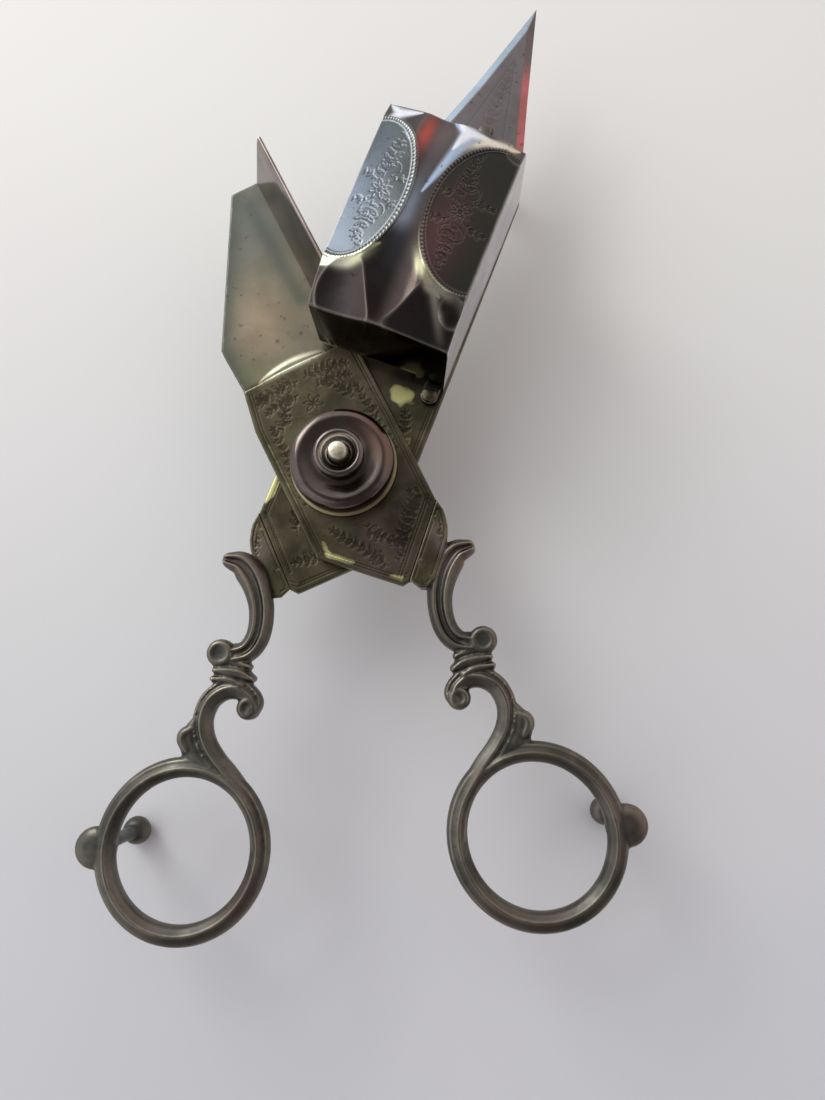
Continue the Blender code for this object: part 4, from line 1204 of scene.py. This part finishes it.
# The scroll handle's bars: (x, y, half width) along each, section, half height, bluntness.
HANDLE_BARS = (
    ([(12.45, -21.5, 1.25), (11.5, -21.35, 1.65), (10.1, -21.2, 2.1), (8.5, -21.8, 2.5),
      (6.9, -23.0, 2.45), (5.4, -24.7, 2.25), (4.1, -26.7, 2.1), (3.1, -29.3, 2.0),
      (2.8, -31.9, 1.95), (3.5, -34.1, 1.85), (5.4, -35.6, 1.65)],
     GROOVED, CAST_HALF + 0.1, 0.55),
    ([(-0.7, -42.5, 1.5), (-0.8, -41.3, 1.6), (0.4, -40.4, 1.7), (2.4, -40.1, 1.8),
      (4.4, -41.1, 1.75), (5.8, -43.2, 1.7), (6.0, -45.6, 1.65), (5.3, -47.8, 1.6),
      (3.7, -49.9, 1.6), (1.2, -51.7, 1.6), (-2.0, -53.3, 1.55), (-5.2, -55.3, 1.4),
      (-8.2, -57.9, 1.3), (-10.3, -61.4, 1.2)],
     RIDGED, CAST_HALF + 0.1, 1.0),
    ([(6.7, -46.6, 0.5), (6.9, -48.2, 1.0), (6.6, -49.8, 1.8), (5.4, -51.4, 2.1),
      (3.4, -52.6, 1.8), (0.9, -53.3, 1.3)],
     ROUND, CAST_HALF - 0.3, 1.0),
    ([(6.8, -48.6, 0.75), (7.6, -49.7, 1.05), (7.4, -50.8, 1.1), (6.2, -51.8, 0.9)],
     ROUND, CAST_HALF - 0.1, 1.0),
    ([(5.4, -49.3, 2.0), (2.2, -52.3, 1.9), (-1.4, -53.5, 1.2)], ROUND, CAST_HALF - 0.6, 1.0),
    ([(1.0, -37.8, 0.7), (2.8, -37.7, 1.2), (4.8, -38.1, 1.2), (6.9, -38.7, 0.6)],
     ROUND, 2.05, 1.0),
    ([(1.9, -39.3, 0.5), (4.2, -39.3, 0.75), (6.7, -40.1, 0.6)], ROUND, 1.9, 1.0),
    ([(2.2, -36.2, 0.6), (4.6, -36.5, 0.8), (6.8, -37.3, 0.5)], ROUND, 1.75, 1.0),
    ([(4.8, -35.2, 1.9), (4.2, -37.8, 1.8), (3.9, -40.1, 1.9)], ROUND, CAST_HALF - 0.3, 1.0))
# Balls in the scroll and in the hook's end: centre and radius.
HANDLE_BALLS = (((7.2, -35.9), 2.3), ((-0.4, -42.3), 1.9))
RING_STATIONS = 150
FOOT_RADIUS = 2.4
FOOT_FLAT = 1.2
FOOT_SEAT = 15.8
FOOT_TOP = 17.5


class Solid:
    """Points and faces of some closed bodies, to be fused into one casting."""

    def __init__(self):
        self.points = []
        self.faces = []

    def add(self, points, faces):
        first = len(self.points)
        self.points += [tuple(p) for p in points]
        self.faces += [tuple(first + i for i in face) for face in faces]

    def tube(self, stations, closed=False):
        """stations are equal rings of points, capped at both ends unless closed."""
        size = len(stations[0])
        points = [p for ring in stations for p in ring]
        count = len(stations)
        faces = [] if closed else [tuple(range(size)),
                                   tuple(range(len(points) - size, len(points)))]
        for a in range(count if closed else count - 1):
            b = (a + 1) % count
            for i in range(size):
                j = (i + 1) % size
                faces.append((a * size + i, a * size + j, b * size + j, b * size + i))
        self.add(points, faces)

    def stroke(self, side, points, section, half_z, blunt):
        """A bar along a curve of (x, y, half width), with ends rounded or blunt."""
        rows = smooth_line(points, 7)
        stations = []
        last = len(rows) - 1
        for i, (x, y, width) in enumerate(rows):
            ahead = rows[min(i + 1, last)] - rows[max(i - 1, 0)]
            along = ahead[:2] / np.linalg.norm(ahead[:2])
            stations.append((np.array([x, y]), along, width, half_z))
        for end, sign in ((0, -1), (-1, 1)):
            spot, along, width, height = stations[end]
            for turn in (25, 45, 62, 76):
                shrink = math.cos(math.radians(turn))
                reach = sign * blunt * width * math.sin(math.radians(turn))
                cap = (spot + along * reach, along, width * shrink, height * shrink ** 0.6)
                stations.append(cap) if sign > 0 else stations.insert(0, cap)
        rings = []
        for spot, along, width, height in stations:
            across = np.array([-along[1], along[0]])
            ring = [(*(spot + across * u * width), CAST_MID + v * height)
                    for u, v in section]
            rings.append([(side * x, y, z) for x, y, z in ring])
        self.tube(rings)

    def turned(self, side, centre, profile, segments=40):
        """A lathe shape with its axis up; profile runs from axis to axis."""
        rings = []
        for radius, z in profile:
            radius = max(radius, 1e-3)
            turns = np.arange(segments) * 2 * math.pi / segments
            rings.append([(side * centre[0] + radius * math.cos(t),
                           centre[1] + radius * math.sin(t), z) for t in turns])
        self.tube(rings)


def finger_ring(solid, side):
    """An oval band with a ridge on top, a wide inner slope and a grooved outer one."""
    section = [(0.0, 0.0), (0.05, 0.55), (0.4, 1.05), (0.9, 1.5), (1.3, 1.9),
               (1.5, 1.9), (1.8, 1.6), (2.35, 1.35), (2.6, 1.4), (2.85, 1.25), (3.15, 0.7),
               (3.3, 0.0), (3.0, -1.1), (1.9, -1.8), (0.6, -1.7), (0.1, -0.9)]
    stations = []
    for i in range(RING_STATIONS):
        turn = 2 * math.pi * i / RING_STATIONS
        rings = []
        for out, z in section:
            x = RING_CENTRE[0] + (RING_INNER[0] + out) * math.cos(turn)
            y = RING_CENTRE[1] + (RING_INNER[1] + out) * math.sin(turn)
            rings.append((side * x, y, CAST_MID + z))
        stations.append(rings)
    solid.tube(stations, closed=True)


def cuff_outline(side, start):
    """The cuff seen from above, from a line parallel to its seam to its outer edge."""
    square = 1 / math.sqrt(2)

    def seam_point(along):
        return ((along + start) * square, (along - start) * square)

    rim = [(11.15, -14.2), (11.0, -15.3), (10.55, -17.0), (9.7, -18.6)]
    end = [(4.7, -23.7), (2.9, -24.5), (1.9, -24.0)]
    head = seam_point(CUFF_SEAM - 0.9 - start)
    return [(side * x, y) for x, y in [head] + rim + end + [seam_point(-14.9)]]


def cuff(solid, side, blade_top):
    """The body of the cuff, which carries the thin plate that is halved onto the blade."""
    loop = np.array(cuff_outline(side, CUFF_SEAM + 1.6))
    middle = loop.mean(0)
    outward = loop - middle
    outward /= np.linalg.norm(outward, axis=1)[:, None]
    solid.tube([[(x, y, z) for x, y in loop - outward * inset]
                for inset, z in ((0.1, CAST_MID - CAST_HALF), (0.1, blade_top - 0.5),
                                 (0.35, blade_top - 0.3))])


def cuff_plate(node, body, side, blade_top):
    """The flush top of the cuff, with a border and a small engraved motif."""
    outline = cuff_outline(side, CUFF_SEAM + 0.03)
    points, faces, loops = filled(outline, [], PLATE_STEP)
    away = loop_distance(points, loops[0])
    chance = random.Random(21)
    lines = border_lines(outline, (0.6,), lambda p: seam_depth(p, side) > 0.4)
    motif = sprig((side * 9.7, -15.6), 270 - side * 18, 5.4, side * 20, 1.3, chance, 4)
    lines += only_inside(motif, lambda p: inside(p, np.array(outline))
                         & (loop_distance(p, np.array(outline)) > 0.8))
    groove = carved(points, lines, ENGRAVING_HALF, 1.0)
    top = blade_top + 0.02 - rounded_edge(away, 0.2) - 0.07 * groove
    zones = Zones(len(points))
    zones.lay(TRAY_PINK, 0.6 * blob(points, (side * 8.2, -18.4), (1.6, 3.5)))
    zones.lay(TRAY_GREEN, 0.5 * blob(points, (side * 4.0, -23.0), (2.0, 1.5)))
    plate_piece(node, body, (points, faces), top,
                np.full(len(points), blade_top - LAP + 0.06), zones, 0.65 * groove,
                ending="_cuff")


def cuff_rivet_places():
    square = 1 / math.sqrt(2)
    middle = CUFF_SEAM + 0.75
    return [((middle + along) * square, (along - middle) * square)
            for along in (-4.0, -11.5)]


def cast_handle(node, body, side, blade_top):
    """One cast handle: cuff, horn and scroll, ball, collar, hook, leaf, ring and knob."""
    solid = Solid()
    finger_ring(solid, side)
    for points, section, half_z, blunt in HANDLE_BARS:
        solid.stroke(side, points, section, half_z, blunt)
    crown = CAST_MID + 1.95
    for centre, radius in HANDLE_BALLS:
        solid.turned(side, centre,
                     [(0, CAST_MID - 1.9), (radius - 0.7, CAST_MID - 1.7),
                      (radius, CAST_MID - 0.7), (radius, CAST_MID + 0.8),
                      (radius - 0.15, crown - 0.5), (radius - 0.5, crown - 0.12),
                      (radius - 0.85, crown), (radius - 1.15, crown - 0.22),
                      (0, crown - 0.3)])
    solid.turned(side, BOSS,
                 [(0, 16.2), (BOSS_R - 0.9, 16.2), (BOSS_R - 0.2, 16.8), (BOSS_R, 17.5),
                  (BOSS_R, 18.2), (BOSS_R - 0.25, 18.8), (BOSS_R - 0.8, 19.2),
                  (BOSS_R - 1.5, 19.4), (0, 19.5)], 56)
    cuff(solid, side, blade_top)

    mesh = bpy.data.meshes.new(node + "_rough")
    mesh.from_pydata(solid.points, [], solid.faces)
    face_outward(mesh)
    rough = linked(node + "_rough", mesh)
    fuse = rough.modifiers.new("fuse", "REMESH")
    fuse.mode = "VOXEL"
    fuse.voxel_size = CAST_VOXEL
    fused = modified(rough)
    points = vectors(fused, "co").astype(float)
    pairs = edge_pairs(fused)
    for _ in range(2):
        points += 0.5 * (neighbour_mean(points, pairs, len(points)) - points)
    faces = [tuple(p.vertices) for p in fused.polygons]
    piece(node, body, BRONZE, points, faces, 75, 0.6)
    cuff_plate(node, body, side, blade_top)


# Turned pieces -----------------------------------------------------------------------

def arc(centre, radius, start, end, count):
    """Points on an arc in the (radius, height) plane, angles in degrees."""
    turns = np.radians(np.linspace(start, end, count))
    return [(centre[0] + radius * math.cos(t), centre[1] + radius * math.sin(t))
            for t in turns]


def lathe(node, body, paint, centre, profile, segments=96, closed=False, uneven=0.0,
          gain=0.35, shade_within=0.0):
    """A turned piece; profile is a closed loop, or runs from axis to axis.

    Nearer the axis than the reach given as its last argument, it is blackened with painted
    shade.
    """
    turns = np.arange(segments) * 2 * math.pi / segments
    points, rings = [], []
    for radius, z in profile:
        if radius == 0:
            rings.append([len(points)] * segments)
            points.append((centre[0], centre[1], z))
            continue
        rings.append(list(range(len(points), len(points) + segments)))
        for t in turns:
            dent = uneven * (math.sin(3 * t + z) + 0.6 * math.sin(7 * t + 2 * radius))
            points.append((centre[0] + (radius + dent) * math.cos(t),
                           centre[1] + (radius + dent) * math.sin(t), z + dent))
    faces = []
    for a in range(len(rings) if closed else len(rings) - 1):
        low, high = rings[a], rings[(a + 1) % len(rings)]
        for i in range(segments):
            j = (i + 1) % segments
            face = tuple(dict.fromkeys([low[i], low[j], high[j], high[i]]))
            if len(face) > 2:
                faces.append(face)
    reach = np.hypot(*(np.array(points)[:, :2] - centre).T)
    zones = Zones(len(points))
    # Painted shade: the piece is darkened near its axis.
    zones.lay(HOLLOW_PAINTED_SHADE, smoothstep((shade_within - reach) / 0.3))
    piece(node, body, paint, points, faces, 35, gain, zones=zones)


def pivot_group():
    """Drum, base ring, collar and the pivot's riveted end."""
    low, high = levels("spring_drum")
    drum = [(8.3, low), (8.45, low + 0.12), (8.5, low + 0.4), (8.5, low + 1.2),
            (8.48, low + 2.1)]
    drum += arc((6.85, low + 2.2), 1.62, 2, 98, 18)
    drum += [(6.2, low + 3.72), (5.6, low + 3.58), (4.9, low + 3.48), (4.3, low + 3.46)]
    drum += [(3.95, low + 3.55), (3.75, low + 3.8), (3.65, high - 0.05), (3.6, high)]
    drum += [(2.0, high), (2.0, low + 3.1), (6.2, low + 3.0), (7.6, low + 2.0), (7.6, low)]
    lathe("spring_drum", "press_arm", DRUM, (0, 0), drum, 128, True, 0.015)

    low, high = levels("drum_base")
    ring = [(1.9, low), (8.7, low), (8.83, low + 0.1), (8.85, low + 0.28),
            (8.8, high - 0.08), (8.68, high), (1.9, high)]
    lathe("drum_base", "press_arm", RING_BRASS, (0, 0), ring, 128, True)

    low, high = levels("drum_collar")
    roll = (3.38, low + 0.9)
    collar = [(3.3, low), (3.6, low + 0.15)] + arc(roll, 0.6, -50, 120, 14)
    collar += [(2.9, low + 1.2), (2.6, low + 0.9), (2.25, low + 0.5), (1.95, low + 0.35),
               (1.9, low)]
    # The collar's cone is painted dark as shade, within 2.85 mm of the axis.
    lathe("drum_collar", "box_arm", DRUM, (0, 0), collar, 96, True, 0.006, 0.5,
          2.85)

    low, high = levels("pivot_pin")
    pin = [(0, low), (1.2, low + 0.05), (2.3, low + 0.3), (3.1, low + 0.75),
           (3.45, low + 1.2), (3.5, low + 1.4), (1.6, low + 1.4), (1.6, high - 0.9)]
    pin += [(1.55, high - 0.55), (1.35, high - 0.22), (0.95, high - 0.07), (0.5, high - 0.05),
            (0, high)]
    lathe("pivot_pin", "box_arm", BRASS, (0, 0), pin, 64, False, 0.006)


def ball_foot(node, body, centre, seat, top, head):
    """A ball with a small flat below, a waisted stalk, a shoulder and a tenon.

    With head, the tenon's end is riveted over and shows above the plate.
    """
    middle = math.sqrt(FOOT_RADIUS ** 2 - FOOT_FLAT ** 2)
    start = -math.degrees(math.asin(middle / FOOT_RADIUS))
    profile = [(0, 0)] + arc((0, middle), FOOT_RADIUS, start, 60, 20)
    profile += [(1.05, middle + FOOT_RADIUS), (1.15, seat - 2.2), (1.45, seat - 1.4),
                (1.85, seat - 0.95), (1.9, seat - 0.6), (1.9, seat), (0.7, seat),
                (0.7, top)]
    if head:
        profile += [(1.3, top), (1.15, top + 0.3), (0.7, top + 0.47), (0, top + 0.5)]
    else:
        profile.append((0, top))
    lathe(node, body, BRONZE, centre, profile, 48, False, 0.012)


def rivet(node, body, centre, flush=None):
    """A rivet with a hammered head as high as its CAD node, or ground off at a level."""
    low, high = levels(node)
    if flush is not None:
        high = flush
    if "cuff" in node:
        shape = [(0, low), (0.6, low), (0.6, high - 0.1), (0.57, high - 0.04),
                 (0.4, high - 0.01), (0, high)]
    elif "press" in node:
        shape = [(0, low), (0.35, low), (0.35, high - 0.1), (0.2, high - 0.02), (0, high)]
    else:
        shape = [(0, low), (0.85, low + 0.06), (1.2, low + 0.25), (1.3, low + 0.5),
                 (0.7, low + 0.5), (0.7, high - 0.5), (1.3, high - 0.5),
                 (1.2, high - 0.25), (0.85, high - 0.06), (0, high)]
    lathe(node, body, PLATE, centre, shape, 32, False, 0.015)


# Scene -------------------------------------------------------------------------------

def area_light(name, place_at, aim, size, watts, colour):
    data = bpy.data.lights.new(name, "AREA")
    data.shape = "RECTANGLE"
    data.size, data.size_y = size
    data.energy = watts
    data.color = colour
    light = linked(name, data)
    light.location = place_at
    light.rotation_euler = (Vector(aim) - Vector(place_at)).to_track_quat("-Z", "Y").to_euler()


# The room round the object: direction, where its tone starts and is full, and the tone.
ROOM_TONE = (0.65, 0.625, 0.66)
ROOM = (((-0.75, 0.50, 0.42), 0.10, 0.88, (1.12, 1.16, 1.19)),
        ((0.85, 0.35, 0.30), 0.55, 0.95, (0.80, 0.70, 0.67)),
        ((0.04, -0.10, 1.0), 0.80, 0.965, (0.20, 0.195, 0.195)),
        ((0.25, -0.90, 0.42), 0.55, 0.92, (0.24, 0.22, 0.215)))


# The camera stands nearly straight above the object: place in metres, turn in degrees.
CAMERA_PLACE = (0.01543, -0.04411, 0.152)
CAMERA_TURN = (9.933, 2.554, -2.7)


def studio():
    """Pale paper, soft light from the upper left, and the camera above the object."""
    mesh = bpy.data.meshes.new("paper")
    half = 1.5
    mesh.from_pydata([(-half, -half, 0), (half, -half, 0), (half, half, 0),
                      (-half, half, 0)], [], [(0, 1, 2, 3)])
    mesh.materials.append(floor_paint())
    linked("paper", mesh)

    world = bpy.data.worlds.new("soft_room")
    world.use_nodes = True
    tree = world.node_tree
    sky = tree.nodes.new("ShaderNodeTexCoord").outputs["Generated"]
    colour = None
    for towards, start, full, tone in ROOM:
        facing = tree.nodes.new("ShaderNodeVectorMath")
        facing.operation = "DOT_PRODUCT"
        tree.links.new(sky, facing.inputs[0])
        facing.inputs[1].default_value = Vector(towards).normalized()
        share = tree.nodes.new("ShaderNodeMapRange")
        share.interpolation_type = "SMOOTHSTEP"
        share.inputs["From Min"].default_value = start
        share.inputs["From Max"].default_value = full
        tree.links.new(facing.outputs["Value"], share.inputs["Value"])
        blend = tree.nodes.new("ShaderNodeMix")
        blend.data_type = "RGBA"
        tree.links.new(share.outputs["Result"], blend.inputs["Factor"])
        blend.inputs[6].default_value = (*ROOM_TONE, 1.0)
        blend.inputs[7].default_value = (*tone, 1.0)
        if colour is not None:
            tree.links.new(colour, blend.inputs[6])
        colour = blend.outputs[2]
    back = tree.nodes["Background"]
    tree.links.new(colour, back.inputs["Color"])
    back.inputs["Strength"].default_value = 1.0
    bpy.context.scene.world = world

    aim = (0, 0, 0.02)
    area_light("window", (-0.42, 0.46, 0.55), aim, (0.34, 0.34), 1.35, (1.0, 0.985, 0.95))
    area_light("pane", (-0.26, 0.33, 0.20), aim, (0.20, 0.20), 0.5, (0.90, 0.95, 1.0))

    data = bpy.data.cameras.new("camera")
    data.sensor_width = 36.0
    data.lens = 27.1
    data.clip_start = 0.005
    camera = linked("camera", data)
    camera.location = CAMERA_PLACE
    camera.rotation_euler = [math.radians(a) for a in CAMERA_TURN]
    bpy.context.scene.camera = camera
    bpy.context.scene.view_settings.view_transform = "Standard"


studio()
box_arm_blade()
press_arm_blade()
box_shell()
press_plate()
cast_handle("box_arm_handle", "box_arm", -1, LOWER_PLATE[1])
cast_handle("press_arm_handle", "press_arm", 1, UPPER_TOP)
pivot_group()
for arm, side, blade_top in (("box_arm", -1, LOWER_PLATE[1]), ("press_arm", 1, UPPER_TOP)):
    ball_foot(arm + "_ring_foot", arm, (side * KNOB[0], KNOB[1]), FOOT_SEAT, FOOT_TOP, False)
    for end, (x, y) in zip(("upper", "lower"), cuff_rivet_places()):
        rivet(arm + "_cuff_rivet_" + end, arm, (side * x, y), blade_top + 0.03)
ball_foot("front_foot", "box_arm", FRONT_FOOT, LOWER_PLATE[0] - 0.3, LOWER_PLATE[1] + 0.1,
          True)
for arm, name, spots in (("box_arm", "box_rivet_", (REAR_LUG, FRONT_LUG)),
                         ("press_arm", "press_rivet_", PRESS_RIVETS)):
    for end, spot in zip(("rear", "front"), spots):
        rivet(name + end, arm, spot)
# Nodes that the drum hides keep their CAD shape.
for hidden in ("lower_washer", "middle_washer", "spring_sleeve", "spiral_spring"):
    node = frame["nodes"][hidden]
    node.data.materials.clear()
    node.data.materials.append(STEEL)
